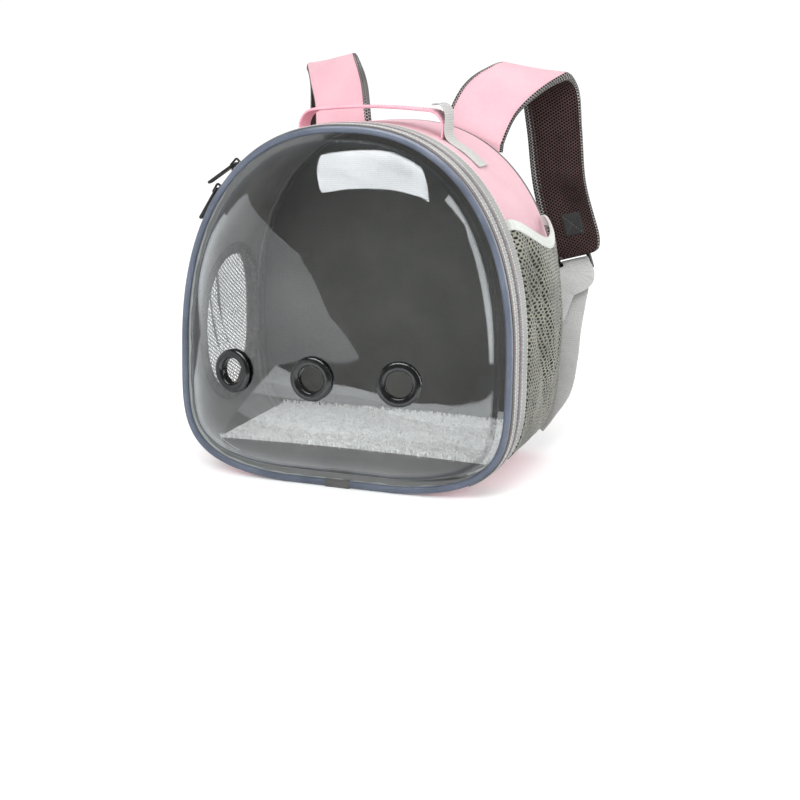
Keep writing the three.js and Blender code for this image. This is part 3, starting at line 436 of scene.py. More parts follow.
def mesh_look(name, thread_color, shade_color, hole_color, pitch, size=0.55, gloss=0.2, wobble=0.0,
              see_through=None):
    """A knitted mesh: rows of oval holes, each second row half a pitch along.

    See_through opens the holes from "both" ways or only from the "back".
    """
    look = Look(name, Sheen_Weight=gloss * 0.75, Specular_IOR_Level=gloss)
    u, v = look.uv()
    if wobble:
        u = look.calc("ADD", u, look.calc("MULTIPLY", look.noise(130.0, 3.0, 0.2, 0.8), wobble))
        v = look.calc("ADD", v, look.calc("MULTIPLY", look.noise(150.0, 3.0, 0.2, 0.8), wobble))
    row = look.calc("DIVIDE", v, pitch * 0.866)
    odd = look.calc("MODULO", look.calc("ABSOLUTE", look.calc("FLOOR", row)), 2.0)
    along = look.calc("ADD", look.calc("DIVIDE", u, pitch), look.calc("MULTIPLY", odd, 0.5))
    du = look.calc("MULTIPLY", look.calc("SUBTRACT", look.calc("FRACT", along), 0.5), 2.0)
    dv = look.calc("MULTIPLY", look.calc("SUBTRACT", look.calc("FRACT", row), 0.5), 2.0 / HOLE_STRETCH)
    far = look.calc("SQRT", look.calc("ADD", look.calc("MULTIPLY", du, du), look.calc("MULTIPLY", dv, dv)))
    uneven = look.calc("ADD", far, look.calc("MULTIPLY", look.noise(700.0, 2.0, 0.0, 1.0), 0.12))
    solid = look.spread(uneven, size, size + 0.22)
    blotches = look.noise(26.0, 4.0)
    speckle = look.noise(1100.0, 2.0)
    # Broad blotches make the knit lighter and darker at random; on the pocket mesh they also stand in for the
    # shade of its folds, so there they are partly painted shade.
    tone = look.weigh((blotches, 0.6), (speckle, 0.4))
    look.color(look.mix(solid, hole_color, look.mix(tone, shade_color, thread_color)))
    look.roughness(speckle, 0.7, 0.95)
    look.bump(solid, 0.35)
    if see_through:
        gap = look.calc("SUBTRACT", 1.0, solid)
        # Seen from the front the holes then stay opaque in hole_color; on the side pocket that near black is
        # painted shade.
        if see_through == "back":
            gap = look.calc("MULTIPLY", look.spread(blotches, 0, 1, 0.85, 0.95),
                            look.add("ShaderNodeNewGeometry").outputs["Backfacing"])
        look.surface(gap, look.shader, look.add("ShaderNodeBsdfTransparent"))
    return look


def net_look(name, ways):
    """Net of slanting strands with clear gaps. Each way: pitch along, pitch up, where strands start."""
    look = Look(name, Sheen_Weight=0.1, Specular_IOR_Level=0.3)
    u, v = look.uv()
    strands = []
    for along, upward, thin in ways:
        way = look.calc("ADD", look.calc("DIVIDE", u, along), look.calc("DIVIDE", v, upward))
        middle = look.calc("ABSOLUTE", look.calc("SUBTRACT", look.calc("FRACT", way), 0.5))
        strands.append(look.spread(middle, thin, thin + 0.06))
    solid = look.calc("MAXIMUM", *strands)
    speckle = look.noise(900.0, 2.0)
    look.color(look.mix(speckle, (0.10, 0.10, 0.097), (0.2, 0.2, 0.195)))
    look.roughness(speckle, 0.6, 0.9)
    look.bump(solid, 0.25)
    look.surface(solid, look.add("ShaderNodeBsdfTransparent"), look.shader)
    return look


def clear_look():
    """Thin clear sheet: what is behind shows through, and it mirrors more at a slant."""
    look = Look("clear_sheet")
    facing = look.add("ShaderNodeLayerWeight").outputs["Facing"]
    slant = look.calc("POWER", facing, 4.5)
    mirror = look.calc("ADD", look.calc("MULTIPLY", slant, 0.9), 0.045, clamp=True)
    clear = look.add("ShaderNodeBsdfTransparent")
    shine = look.add("ShaderNodeBsdfGlossy")
    smudges = look.noise(14.0, 2.0, 0.45, 0.7)
    look.link(look.mix(smudges, (0.955, 0.965, 0.97), (0.93, 0.94, 0.945)), clear.inputs["Color"])
    look.link(look.spread(smudges, 0, 1, 0.02, 0.07), shine.inputs["Roughness"])
    look.link(look.mix(smudges, (1.0, 1.0, 1.0), (0.92, 0.93, 0.94)), shine.inputs["Color"])
    look.surface(mirror, clear, shine)
    look.tree.nodes.remove(look.shader)
    return look


def fleece_look():
    look = Look("fleece", Sheen_Weight=0.6, Specular_IOR_Level=0.1)
    clumps_and_hollow_shade = look.noise(220.0, 5.0)
    # The colour follows the bump's noise, so the low hollows between clumps are darker: painted shade.
    look.color(look.mix(clumps_and_hollow_shade, (0.82, 0.81, 0.785), (0.99, 0.985, 0.965)))
    look.roughness(clumps_and_hollow_shade, 0.85, 1.0)
    look.bump(clumps_and_hollow_shade, 1.2)
    return look


piping_blue = piping_look()
POCKET_KNIT = dict(pitch=3.3, size=0.56, wobble=2.2)
# Its holes are see-through only from inside; from outside they are opaque and near black, painted shade of
# the wall behind the mesh.
pocket_mesh = mesh_look("pocket_mesh", (0.29, 0.292, 0.24), (0.095, 0.097, 0.078), (0.008, 0.008, 0.007),
                        see_through="back", **POCKET_KNIT)
pocket_inside = mesh_look("pocket_inside", (0.30, 0.305, 0.26), (0.15, 0.155, 0.125), (0.1, 0.1, 0.09),
                          see_through="both", **{**POCKET_KNIT, "size": 0.85})
strap_mesh = mesh_look("strap_mesh", (0.075, 0.045, 0.043), (0.018, 0.01, 0.009), (0.002, 0.001, 0.001), 3.1,
                       size=0.62, gloss=0.03)
edge_mesh = mesh_look("edge_mesh", (0.42, 0.40, 0.39), (0.16, 0.15, 0.148), (0.004, 0.004, 0.004), 2.9,
                      size=0.68, gloss=0.05)
pad_mesh = mesh_look("pad_mesh", (0.10, 0.095, 0.095), (0.06, 0.056, 0.056), (0.012, 0.011, 0.011), 3.0,
                     size=0.5)
net_layers = [net_look("white_net", ((6.0, 3.7, 0.31), (5.5, -9.0, 0.44))),
              net_look("white_net_inner", ((4.6, -5.2, 0.4), (6.0, 3.7, 0.46)))]
sheet_clear = clear_look()
fleece = fleece_look()


def finish_piece(piece, nodes, body=PACK):
    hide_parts(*nodes)
    fasten(piece, body)
    return piece


# Clear bubble
BUBBLE_EDGE = -(PIPE + GAP)
RIM_FINE = np.linspace(0, 1, 2881)[:-1]
EDGE_X, EDGE_Z, _, _ = rim(RIM_FINE, BUBBLE_EDGE - BUBBLE_FLANGE)


def bubble_share(x, z):
    turn = np.arctan2(EDGE_Z - BUBBLE_CENTRE, EDGE_X)
    order = np.argsort(turn)
    reach = np.hypot(EDGE_X, EDGE_Z - BUBBLE_CENTRE)[order]
    here = np.arctan2(z - BUBBLE_CENTRE, x)
    return np.minimum(np.hypot(x, z - BUBBLE_CENTRE) / np.interp(here, turn[order], reach), 1)


def bubble_rise(share):
    return BUBBLE_DEPTH * (1 - share ** BUBBLE_ROUND) ** BUBBLE_STEEP


def bubble_front(x, z):
    return np.array([x, RIM_LEAN * z - bubble_rise(bubble_share(x, z)), z])


def vent_frame(x):
    reach = VENT_FLANGE * 0.85
    right, left = bubble_front(x + reach, VENT_Z), bubble_front(x - reach, VENT_Z)
    over, under = bubble_front(x, VENT_Z + reach), bubble_front(x, VENT_Z - reach)
    facing = unit(np.cross(over - under, right - left))
    facing = -facing if facing[1] > 0 else facing
    seat = (right + left + over + under) / 4 - facing * BUBBLE_SHEET / 2
    turn = Vector((0, 1, 0)).rotation_difference(Vector(facing)).to_matrix()
    return seat, np.array(turn)


VENTS = {"left": -VENT_X, "middle": 0.0, "right": VENT_X}


def make_bubble():
    shares = RIM_FINE[::9]
    edge_x, edge_z, _, _ = rim(shares, BUBBLE_EDGE - BUBBLE_FLANGE)
    lip_x, lip_z, _, _ = rim(shares, BUBBLE_EDGE)
    radial = np.concatenate([np.linspace(0.02, 0.9, 44)[:-1],
                             1 - np.linspace(0.1, 0, 22) ** 1.6 / 0.1 ** 0.6])
    rings = []
    for r in radial:
        x, z = edge_x * r, BUBBLE_CENTRE + (edge_z - BUBBLE_CENTRE) * r
        rings.append(np.stack([x, RIM_LEAN * z - bubble_rise(r), z], -1))
    rings.append(np.stack([lip_x, RIM_LEAN * lip_z, lip_z], -1))
    front = np.array(rings)
    ahead = np.concatenate([front[1:], front[-1:]]) - np.concatenate([front[:1], front[:-1]])
    around = np.roll(front, -1, 1) - np.roll(front, 1, 1)
    inward = unit(np.cross(around, ahead))
    inward *= np.sign(inward[..., 1:2] + 1e-9)
    back = front + inward * BUBBLE_SHEET
    sections = np.concatenate([front, back[::-1]])
    piece = loft("clear_bubble", sections, looks=[sheet_clear], smooth=50)
    for x in VENTS.values():
        seat, turn = vent_frame(x)
        drill_out(piece, cylinder(seat, turn, VENT_NECK + GAP, 90))
    return finish_piece(piece, ["bubble"])


def cylinder(seat, turn, radius, length, sides=96):
    at = 2 * np.pi * np.arange(sides) / sides
    rows = [np.stack([radius * np.cos(at), np.full(sides, h), radius * np.sin(at)], -1)
            for h in (-length / 2, length / 2)]
    return loft("drill", np.array([row @ turn.T + seat for row in rows]))


def apply_modifiers(piece):
    bpy.context.view_layer.update()
    made = bpy.data.meshes.new_from_object(piece.evaluated_get(bpy.context.evaluated_depsgraph_get()))
    old = piece.data
    piece.modifiers.clear()
    piece.data = made
    bpy.data.meshes.remove(old)


def drill_out(piece, drill):
    cut = piece.modifiers.new("hole", "BOOLEAN")
    cut.operation, cut.solver, cut.object = "DIFFERENCE", "EXACT", drill
    apply_modifiers(piece)
    bpy.data.objects.remove(drill)


def make_grommet(label, x):
    half = BUBBLE_SHEET / 2 + VENT_SEAT
    middle, wide = (VENT_BORE + VENT_FLANGE) / 2, (VENT_FLANGE - VENT_BORE) / 2
    arc = np.linspace(0, np.pi, 15)
    front = np.stack([middle + wide * np.cos(arc), half + 0.5 + 3.0 * np.sin(arc) ** 0.8], -1)
    back = np.stack([middle - wide * np.cos(arc), -half - 0.2 - 2.1 * np.sin(arc) ** 0.8], -1)
    neck = [(VENT_FLANGE - 0.3, -half), (VENT_NECK, -half), (VENT_NECK, half), (VENT_FLANGE - 0.3, half)]
    profile = np.concatenate([back, neck, front])
    seat, turn = vent_frame(x)
    at = 2 * np.pi * np.arange(96) / 96
    rings = np.stack([profile[None, :, 0] * np.cos(at)[:, None], np.repeat(profile[None, :, 1], 96, 0),
                      profile[None, :, 0] * np.sin(at)[:, None]], -1)
    piece = loft(f"grommet_{label}", np.concatenate([rings, rings[:1]]) @ turn.T + seat, closed=True,
                 looks=[black], smooth=35)
    return finish_piece(piece, [f"vent_grommet_{label}"])


# Bands round the rim
def band(name, section, start, end, look, node, steps=700, closed=False):
    shares = np.linspace(start, end, steps + 1)[:-1 if closed else None]
    rows = []
    for share in shares:
        x, z, _, _ = rim(np.full(len(section), share), section[:, 0])
        rows.append(np.stack([x, RIM_LEAN * z + section[:, 1], z], -1))
    rows = np.array(rows)
    outline = np.concatenate([section, section[:1]])
    across = lengths(outline)
    uv = np.stack(np.meshgrid(shares * RIM_LENGTH, across, indexing="ij"), -1)
    if closed:
        rows = np.concatenate([rows, rows[:1]])
        uv = np.concatenate([uv, uv[-1:] + [RIM_LENGTH / steps, 0]])
    piece = loft(name, rows, uv=uv, closed=closed, looks=[look], smooth=50)
    return finish_piece(piece, [node])


def make_piping():
    turn = 2 * np.pi * np.arange(24) / 24
    section = PIPE * np.stack([np.cos(turn), np.sin(turn)], -1)
    return band("piping", section, 0, 1, piping_blue, "rim_piping", closed=True, steps=900)


def make_sleeve():
    inner, outer = PIPE + GAP, PIPE + GAP + 0.8
    turn = np.linspace(1.1 * np.pi, 1.78 * np.pi, 18)
    section = np.concatenate([outer * np.stack([np.cos(turn), np.sin(turn)], -1),
                              inner * np.stack([np.cos(turn[::-1]), np.sin(turn[::-1])], -1)])
    return band("sleeve", section, -0.011, 0.011, dark_cloth, "piping_sleeve", steps=24)


def flat_section(start, end, thickness=1.0, crown=0.0, steps=10):
    """A flat tape on the wall with rounded edges and a slightly crowned face."""
    across = np.linspace(0, 1, steps)
    top = np.stack([BAND + thickness - 0.25 * (np.abs(2 * across - 1) ** 6)
                    + crown * (1 - (2 * across - 1) ** 2),
                    start + (end - start) * across], -1)
    bottom = np.array([[BAND, end], [BAND, start]])
    return np.concatenate([top, bottom])


def make_tapes():
    front = band("front_tape_cloth", flat_section(*FRONT_TAPE, crown=0.35), BAND_START, 1 - BAND_START, tape,
                 "front_tape")
    rear = band("rear_tape_cloth", flat_section(*REAR_TAPE, crown=0.2), BAND_START, 1 - BAND_START, tape,
                "rear_tape")


TOOTH_PITCH, TOOTH_WIDE, TOOTH_HIGH = 1.75, 0.36, 0.32


def make_zip():
    base = band("zip_tape", flat_section(*ZIP, thickness=0.8), BAND_START, 1 - BAND_START, zip_cloth,
                "zip_chain")
    verts, faces = [], []
    path = [(-0.55, 0.1), (-0.2, 0.62), (1.2, 0.86), (2.3, 0.62), (2.6, 0.1)]
    turns = [2 * np.pi * k / 6 for k in range(6)]
    depth = np.array([0, 1.0, 0])
    length = RIM_LENGTH * (1 - 2 * BAND_START)
    for n, at in enumerate(np.arange(TOOTH_PITCH, length - TOOTH_PITCH, TOOTH_PITCH / 2)):
        side = 1 if n % 2 else -1
        share = BAND_START + at / RIM_LENGTH
        x, z, nx, nz = (float(v) for v in rim(share, BAND + 0.8))
        out, along = np.array([nx, 0, nz]), np.array([-nz, 0, nx])
        base_point = np.array([x, RIM_LEAN * z + ZIP_MIDDLE, z])
        rings = []
        for place, lift in path:
            middle = base_point + depth * side * place + out * lift
            rings.append([middle + along * math.cos(turn) * TOOTH_WIDE + out * math.sin(turn) * TOOTH_HIGH
                          for turn in turns])
        add_tube(verts, faces, rings)
    teeth = new_object("zip_teeth", verts, faces, looks=[coil], smooth=80)
    fasten(teeth)


# Wall
def window_line(inset=0.0, steps=160, closed=False):
    """y and z of the window's outline, with the first point once more at the end if closed."""
    turn = 2 * np.pi * (np.arange(steps + closed) % steps) / steps
    power = 2 / WINDOW_ROUND
    y = WINDOW_Y + (WINDOW_HALF_Y - inset) * np.sign(np.cos(turn)) * np.abs(np.cos(turn)) ** power
    z = WINDOW_Z + (WINDOW_HALF_Z - inset) * np.sign(np.sin(turn)) * np.abs(np.sin(turn)) ** power
    return y, z


def wall_wrinkle(points):
    """Soft hollows and creases of the cloth, only behind the tape and clear of what is sewn on."""
    free = np.clip((points[..., 1] - RIM_LEAN * points[..., 2] - REAR_TAPE[1] - 4) / 14, 0, 1)
    free *= np.clip((BACK_FACE - 4 - points[..., 1]) / 10, 0, 1)
    height = np.clip((points[..., 2] - 8) / 20, 0, 1)
    return free * height * (0.5 * wave_noise(points, 62.0, 3) + 0.22 * wave_noise(points, 19.0, 5))


def make_wall():
    shares = np.linspace(0, 1, 721)[:-1]
    depth_rows = 72
    sheets = []
    for offset in (SKIN, INNER):
        x, z, nx, nz = rim(shares, offset)
        front = RIM_LEAN * z + SKIN
        t = np.linspace(0, 1, depth_rows)
        y = front[:, None] + (BACK_FACE - GAP - front)[:, None] * t[None]
        points = np.stack([np.repeat(x[:, None], depth_rows, 1), y, np.repeat(z[:, None], depth_rows, 1)], -1)
        dent = np.minimum(wall_wrinkle(points), 0.25)
        points[..., 0] += nx[:, None] * dent
        points[..., 2] += nz[:, None] * dent
        sheets.append(points)
    outer, inner = sheets
    uv = np.stack(np.meshgrid(shares * RIM_LENGTH, np.linspace(0, BACK_FACE, depth_rows), indexing="ij"), -1)
    outer, inner, uv = (np.concatenate([g, g[:1]]) for g in (outer, inner, uv))
    uv[-1, :, 0] = RIM_LENGTH
    piece = shell("wall_cloth", outer, inner, uv, closed=True, looks=[pink, lining, dark_cloth],
                  slots=(0, 1, 1), smooth=60)
    y, z = window_line()
    reach = 2.0 * HALF_WIDTH
    drill = loft("drill", np.array([np.stack([np.full(len(y), s * reach), y, z], -1) for s in (-1, 1)]),
                 looks=[lining])
    drill_out(piece, drill)
    finish_piece(piece, ["wall"])


PANEL_MIDDLE = 150


def make_back_panel():
    rings = [(SKIN - 1.2, BACK_FACE, 0), (SKIN - 0.4, BACK_FACE + 0.3, 1), (SKIN, BACK_FACE + 1, 1),
             (SKIN, BODY_DEPTH - 1.2, 1), (SKIN - 0.4, BODY_DEPTH - 0.3, 1), (SKIN - 1.2, BODY_DEPTH, 1)]
    for t in np.linspace(0, 1, 8):
        inset = -BACK_MARGIN * t
        rings.append((inset if t else SKIN - 2, BODY_DEPTH - 0.6 * math.sin(math.pi * t), 2))
    for t in np.linspace(0.1, 1, 10):
        rings.append((-BACK_MARGIN - 6 * t, BODY_DEPTH + (BACK_RISE - 0.4) * math.sin(math.pi / 2 * t), 2))
    shares = np.linspace(0, 1, 481)[:-1]
    rows = []
    x, z, _, _ = rim(shares, SKIN - 1.2)
    for shrink in (0.03, 0.3, 0.55, 0.8, 0.95):
        rows.append(np.stack([x * shrink, np.full(len(x), BACK_FACE),
                              PANEL_MIDDLE + (z - PANEL_MIDDLE) * shrink], -1))
    for offset, y, _ in rings:
        x, z, _, _ = rim(shares, offset)
        rows.append(np.stack([x, np.full(len(x), y), z], -1))
    base = rows[-2]
    for shrink in np.linspace(0.85, 0.05, 12):
        x, z = base[:, 0] * shrink, PANEL_MIDDLE + (base[:, 2] - PANEL_MIDDLE) * shrink
        dent = 0.5 * np.cos(x / 11.0) * np.cos(z / 11.0) - 0.5
        rows.append(np.stack([x, np.full(len(x), BODY_DEPTH + BACK_RISE - 0.3) + dent * 0.7, z], -1))
    rows = np.array(rows)
    _, _, nx, nz = rim(shares, SKIN)
    depth = np.maximum(rows[..., 1] - BACK_FACE, 0)
    uv = np.stack([rows[..., 0] + nx * depth, rows[..., 2] + nz * depth], -1)
    uv = np.concatenate([uv, uv[:, :1]], 1)
    piece = loft("back_cloth", rows, uv=uv, looks=[dark_cloth, pad_mesh], smooth=50)
    centre = np.array([p.center.y for p in piece.data.polygons])
    piece.data.polygons.foreach_set("material_index",
                                    (centre > (BACK_FACE + 0.2 - ORIGIN[1]) * MM).astype(np.int32))
    finish_piece(piece, ["back_panel"])


FLEECE_FRONT, FLEECE_BACK, FLEECE_TOP = 26.0, 165.7, 27.0
TUFTS, FRINGE = 10500, 1500


def make_fleece():
    """A plush pad: a lumpy top with short curled tufts all over it."""
    side = share_at(FLEECE_TOP - 2)
    shares = np.linspace(-side, side, 90)
    rows = []
    for y in np.concatenate([[FLEECE_FRONT, 27.0, 29.0], np.linspace(32, 160, 60),
                             [163.0, 165.0, FLEECE_BACK]]):
        edge = min(1, min(y - FLEECE_FRONT, FLEECE_BACK - y) / 5)
        round_ = 3.0 * (1 - edge ** 0.5)
        x, z, _, _ = rim(shares, INNER - GAP - round_)
        across = np.linspace(1, -1, 84)[1:-1]
        top_x = x[-1] * across
        top_z = z[-1] + 2.0 * (1 - across ** 2) - round_ * 0.6
        lump = wave_noise(np.stack([top_x, np.full_like(top_x, y)], -1), 12.0, 11) * 1.5 + 0.2
        top_z = top_z + lump * edge * np.minimum(1, (1 - np.abs(across)) * 12)
        rows.append(np.concatenate([np.stack([x, np.full_like(x, y), z], -1),
                                    np.stack([top_x, np.full_like(top_x, y), top_z], -1)]))
    size = len(rows[0])
    over = np.array([1 if k >= len(shares) - 9 or k < 8 else 0 for k in range(size)])
    piece = loft("fleece_plush", np.array(rows), looks=[lining, fleece], slots=over, smooth=70)
    for end in (p for p in piece.data.polygons if len(p.vertices) > 4):
        end.material_index = 0
    finish_piece(piece, ["fleece_pad"])
    source = np.random.default_rng(21)
    verts, faces = [], []
    for count in range(TUFTS):
        x, y = source.uniform(-127, 127), source.uniform(26.5, 165)
        fringe = count > TUFTS - FRINGE
        if fringe:
            y = source.choice([source.uniform(26.0, 29.0), source.uniform(161.0, 165.0)])
        top = FLEECE_TOP - 0.4 - 2.0 * (x / 130.0) ** 2 + 0.7
        lean, turn, tall = source.uniform(0.2, 1.0), source.uniform(0, 2 * np.pi), source.uniform(2.4, 4.4)
        if fringe:
            lean, tall = lean * 0.5, tall * 1.6
        root = np.array([x, y, top - 1.0])
        way = np.array([math.cos(turn), math.sin(turn), 0]) * lean
        side_way = np.array([-math.sin(turn), math.cos(turn), 0])
        start = len(verts)
        for t, wide in ((0, 0.4), (0.45, 0.46), (0.85, 0.3)):
            middle = root + np.array([0, 0, tall * math.sin(t * 1.7) * 0.75]) + way * tall * t ** 1.6
            ahead, behind = (unit(-side_way + s * way * 1.2 + [0, 0, s * 0.3]) for s in (1, -1))
            for spread in (side_way, ahead, behind):
                verts.append(middle + spread * wide)
        verts.append(root + np.array([0, 0, tall * 0.66]) + way * tall * 1.05)
        for r in range(2):
            for k in range(3):
                a, b = start + r * 3 + k, start + r * 3 + (k + 1) % 3
                faces.append((a, b, b + 3, a + 3))
        for k in range(3):
            faces.append((start + 6 + k, start + 6 + (k + 1) % 3, start + 9))
        faces.append((start + 2, start + 1, start))
    verts = np.array(verts)
    verts[:, 1] = np.clip(verts[:, 1], 24.0, 165.6)
    tufts = new_object("fleece_tufts", verts, faces, looks=[fleece], smooth=80)
    fasten(tufts)


# Side windows and pockets
def mirrored(points, sign):
    return points * np.array([sign, 1, 1])


SIDES = (("right", 1.0), ("left", -1.0))


def make_net(label, sign):
    """Two layers of net across the window, sewn to its edge."""
    radial = np.linspace(0, 1, 26)
    turns = 121
    sheets = []
    for offset, bulge in ((1.9, 0.9), (0.9, -0.7)):
        y, z = window_line(0.0, turns - 1, closed=True)
        yy = WINDOW_Y + (y[None] - WINDOW_Y) * radial[:, None]
        zz = WINDOW_Z + (z[None] - WINDOW_Z) * radial[:, None]
        sag = bulge * (1 - radial[:, None] ** 2) + 0.25 * wave_noise(np.stack([yy, zz], -1), 34.0, 17)
        xx = side_x(zz, offset) + sag * (1 - radial[:, None] ** 8)
        sheets.append((np.stack([xx, yy, zz], -1), np.stack([yy * (1 if bulge > 0 else 0.99), zz], -1)))
    objects = []
    for k, (points, uv) in enumerate(sheets):
        verts = mirrored(points, sign).reshape(-1, 3)
        faces = grid_faces(len(radial), turns)
        piece = new_object(f"net_{label}_{k}", verts, faces.tolist(), uvs=uv.reshape(-1, 2),
                           looks=[net_layers[k]], smooth=80)
        objects.append(piece)
    first, second = objects
    finish_piece(first, [f"window_net_{label}"])
    fasten(second)


def make_facing(label, sign):
    """The band of lining round the window, gathered a little, and the fold along its back edge."""
    turns, rows_across = 240, 16
    y, z = window_line(0.0, turns, closed=True)
    back_side = np.clip((y - WINDOW_Y) / WINDOW_HALF_Y, 0, 1)
    reach = 10 + 14 * back_side
    run = np.linspace(0, 2 * np.pi, turns + 1)
    out_y, out_z = (y - WINDOW_Y) / WINDOW_HALF_Y, (z - WINDOW_Z) / WINDOW_HALF_Z
    long = np.hypot(out_y, out_z)
    t = np.linspace(0, 1, rows_across)[None]
    yy = y[:, None] + (out_y / long * reach)[:, None] * t - 2.0 * (out_y / long)[:, None] * (1 - t)
    zz = z[:, None] + (out_z / long * 9)[:, None] * t - 2.0 * (out_z / long)[:, None] * (1 - t)
    pucker = 0.9 * np.sin(run * 47)[:, None] * np.sin(np.pi * t)
    pucker += 0.4 * np.sin(run * 19 + 1)[:, None] * np.sin(np.pi * t)
    fold = 5.0 * back_side[:, None] * np.exp(-((t - 0.45) / 0.16) ** 2)
    fold = fold + 1.2 * np.exp(-((t - 0.12) / 0.1) ** 2)
    rise = 0.5 + np.maximum(pucker + fold, 0) * np.minimum(1, np.sin(np.pi * t) * 3)
    x = side_x(zz, INNER)
    inner = np.stack([x - 0.35 - rise, yy, zz], -1)
    outer = np.stack([x - 0.3, yy, zz], -1)
    uv = np.stack(np.broadcast_arrays(run[:, None] * 60, t * 18), -1)
    piece = shell(f"window_facing_{label}", mirrored(inner, sign), mirrored(outer, sign), uv, closed=True,
                  looks=[facing_look], smooth=60)
    fasten(piece)


def make_seams():
    """Bound seams inside the cabin: two where the wall meets the back, and a pale one behind the rim."""
    shares = np.linspace(0, 1, 721)
    arc = np.linspace(0, np.pi, 9)
    seams = (("seam_back", BACK_FACE - 4.2, 3.0, 3.0, dark_cloth),
             ("seam_corner", BACK_FACE - 14, 2.2, 1.8, lining),
             ("seam_front", None, 2.4, 1.5, binding_look))
    for name, y, wide, tall, look in seams:
        section = np.stack([INNER - 0.3 - tall * np.sin(arc), wide * np.cos(arc)], -1)
        rows = []
        for n, share in enumerate(shares[:-1]):
            uneven = section[:, 0] + 0.25 * math.sin(n / 5.0) + 0.25 * math.sin(n / 2.3)
            x, z, _, _ = rim(np.full(len(section), share), uneven)
            behind = section[:, 1] + (RIM_LEAN * z + SKIN + 3.5 if y is None else y)
            rows.append(np.stack([x, behind, z], -1))
        rows = np.array(rows + [rows[0]])
        uv = np.stack(np.meshgrid(shares * RIM_LENGTH, np.arange(len(section) + 1) * 1.1, indexing="ij"), -1)
        piece = loft(name, rows, uv=uv, closed=True, looks=[look], smooth=60)
        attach(piece, PACK)


POCKET_START, POCKET_FRONT, POCKET_DIP, POCKET_BACK = 0.14, 0.343, 0.318, 0.336
POCKET_SEAM, BINDING_SHARE = 0.6, 9.0 / RIM_LENGTH


def pocket_top(along):
    straight = POCKET_FRONT + (POCKET_BACK - POCKET_FRONT) * along
    return straight - ((POCKET_FRONT + POCKET_BACK) / 2 - POCKET_DIP) * np.sin(np.pi * along)


def pocket_spot(along, share, lift):
    x, z, _, _ = rim(share, BAND + POCKET_SEAM + lift)
    front = RIM_LEAN * z + REAR_TAPE[1] + GAP
    return np.stack([x, front + (BACK_FACE - 5.0 - front) * along, z], -1)


def pocket_lift(along, rise):
    across = np.sin(np.pi * along) ** (0.8 - 0.35 * rise)
    return across * (9.0 * np.sin(np.pi / 2 * np.minimum(1, rise * 1.6)) ** 0.9 + 4.5 * rise ** 3)


# Each crease: depth in mm, its end at the mouth, slope, width, and where and how quickly it starts
POCKET_CREASES = ((7.0, 0.12, 0.62, 0.06, 0.12, 4), (5.5, -0.12, 0.72, 0.06, 0.1, 3),
                  (4.0, 0.86, -0.3, 0.055, 0.1, 3))


def make_pocket(label, sign):
    along, rise = np.meshgrid(np.linspace(0, 1, 74), np.linspace(0, 1, 110), indexing="ij")
    top = pocket_top(along) - BINDING_SHARE
    share = POCKET_START + (top - POCKET_START) * rise
    flat_spot = pocket_spot(along, share, 0)
    seam = np.minimum(1, np.minimum(np.minimum(along, 1 - along) * 9, rise * 8))
    crease = 0.0
    for deep, at, slope, wide, low, quick in POCKET_CREASES:
        valley = np.exp(-((along - at - slope * (1 - rise)) / wide) ** 2)
        crease += deep * valley * np.clip((rise - low) * quick, 0, 1)
    crease *= np.clip((1 - rise) * 9, 0, 1)
    loose = 1.0 * wave_noise(flat_spot[..., 1:] * [1, 0.6], 40.0, 23)
    loose += 0.45 * wave_noise(flat_spot[..., 1:], 15.0, 29)
    lift = np.maximum(pocket_lift(along, rise) + seam * (loose - crease), 0.1)
    outer, inner = pocket_spot(along, share, lift + 1.2), pocket_spot(along, share, lift)
    uv = np.stack([outer[..., 1], share * RIM_LENGTH], -1)
    piece = shell(f"pocket_{label}", mirrored(outer, sign), mirrored(inner, sign), uv,
                  looks=[pocket_mesh, pocket_inside], slots=(0, 1, 0), smooth=60)
    finish_piece(piece, [f"side_pocket_{label}"])


def make_binding(label, sign):
    t = np.linspace(0, 1, 100)
    across = np.linspace(0, 1, 9)
    along, rise = np.meshgrid(t, across, indexing="ij")
    share = pocket_top(along) - BINDING_SHARE * (1 - rise)
    puff = 0.5 * np.sin(np.pi * rise) ** 0.5 + 0.12 * np.sin(along * 160)
    lift = pocket_lift(along, np.ones_like(along))
    outer = pocket_spot(along, share, lift + 1.9 + puff * 0.9)
    inner = pocket_spot(along, share, lift)
    uv = np.stack([along * 125, rise * 9], -1)
    piece = shell(f"binding_{label}", mirrored(outer, sign), mirrored(inner, sign), uv, looks=[binding_look],
                  smooth=60)
    finish_piece(piece, [f"pocket_binding_{label}"])
    row = 0.28
    line_share = pocket_top(t) - BINDING_SHARE * (1 - row)
    line = pocket_spot(t, line_share, pocket_lift(t, np.ones_like(t)) + 2.35)
    normals = unit(line - pocket_spot(t, line_share, 0) + [0.6, 0, 0.2])
    return mirrored(line, sign), mirrored(normals, sign)


# Straps, handle and ribbon
STRAP_WIDTH, STRAP_THICK, STRAP_REACH, STRAP_CREST = 60.0, 10.0, 82.0, 364.0
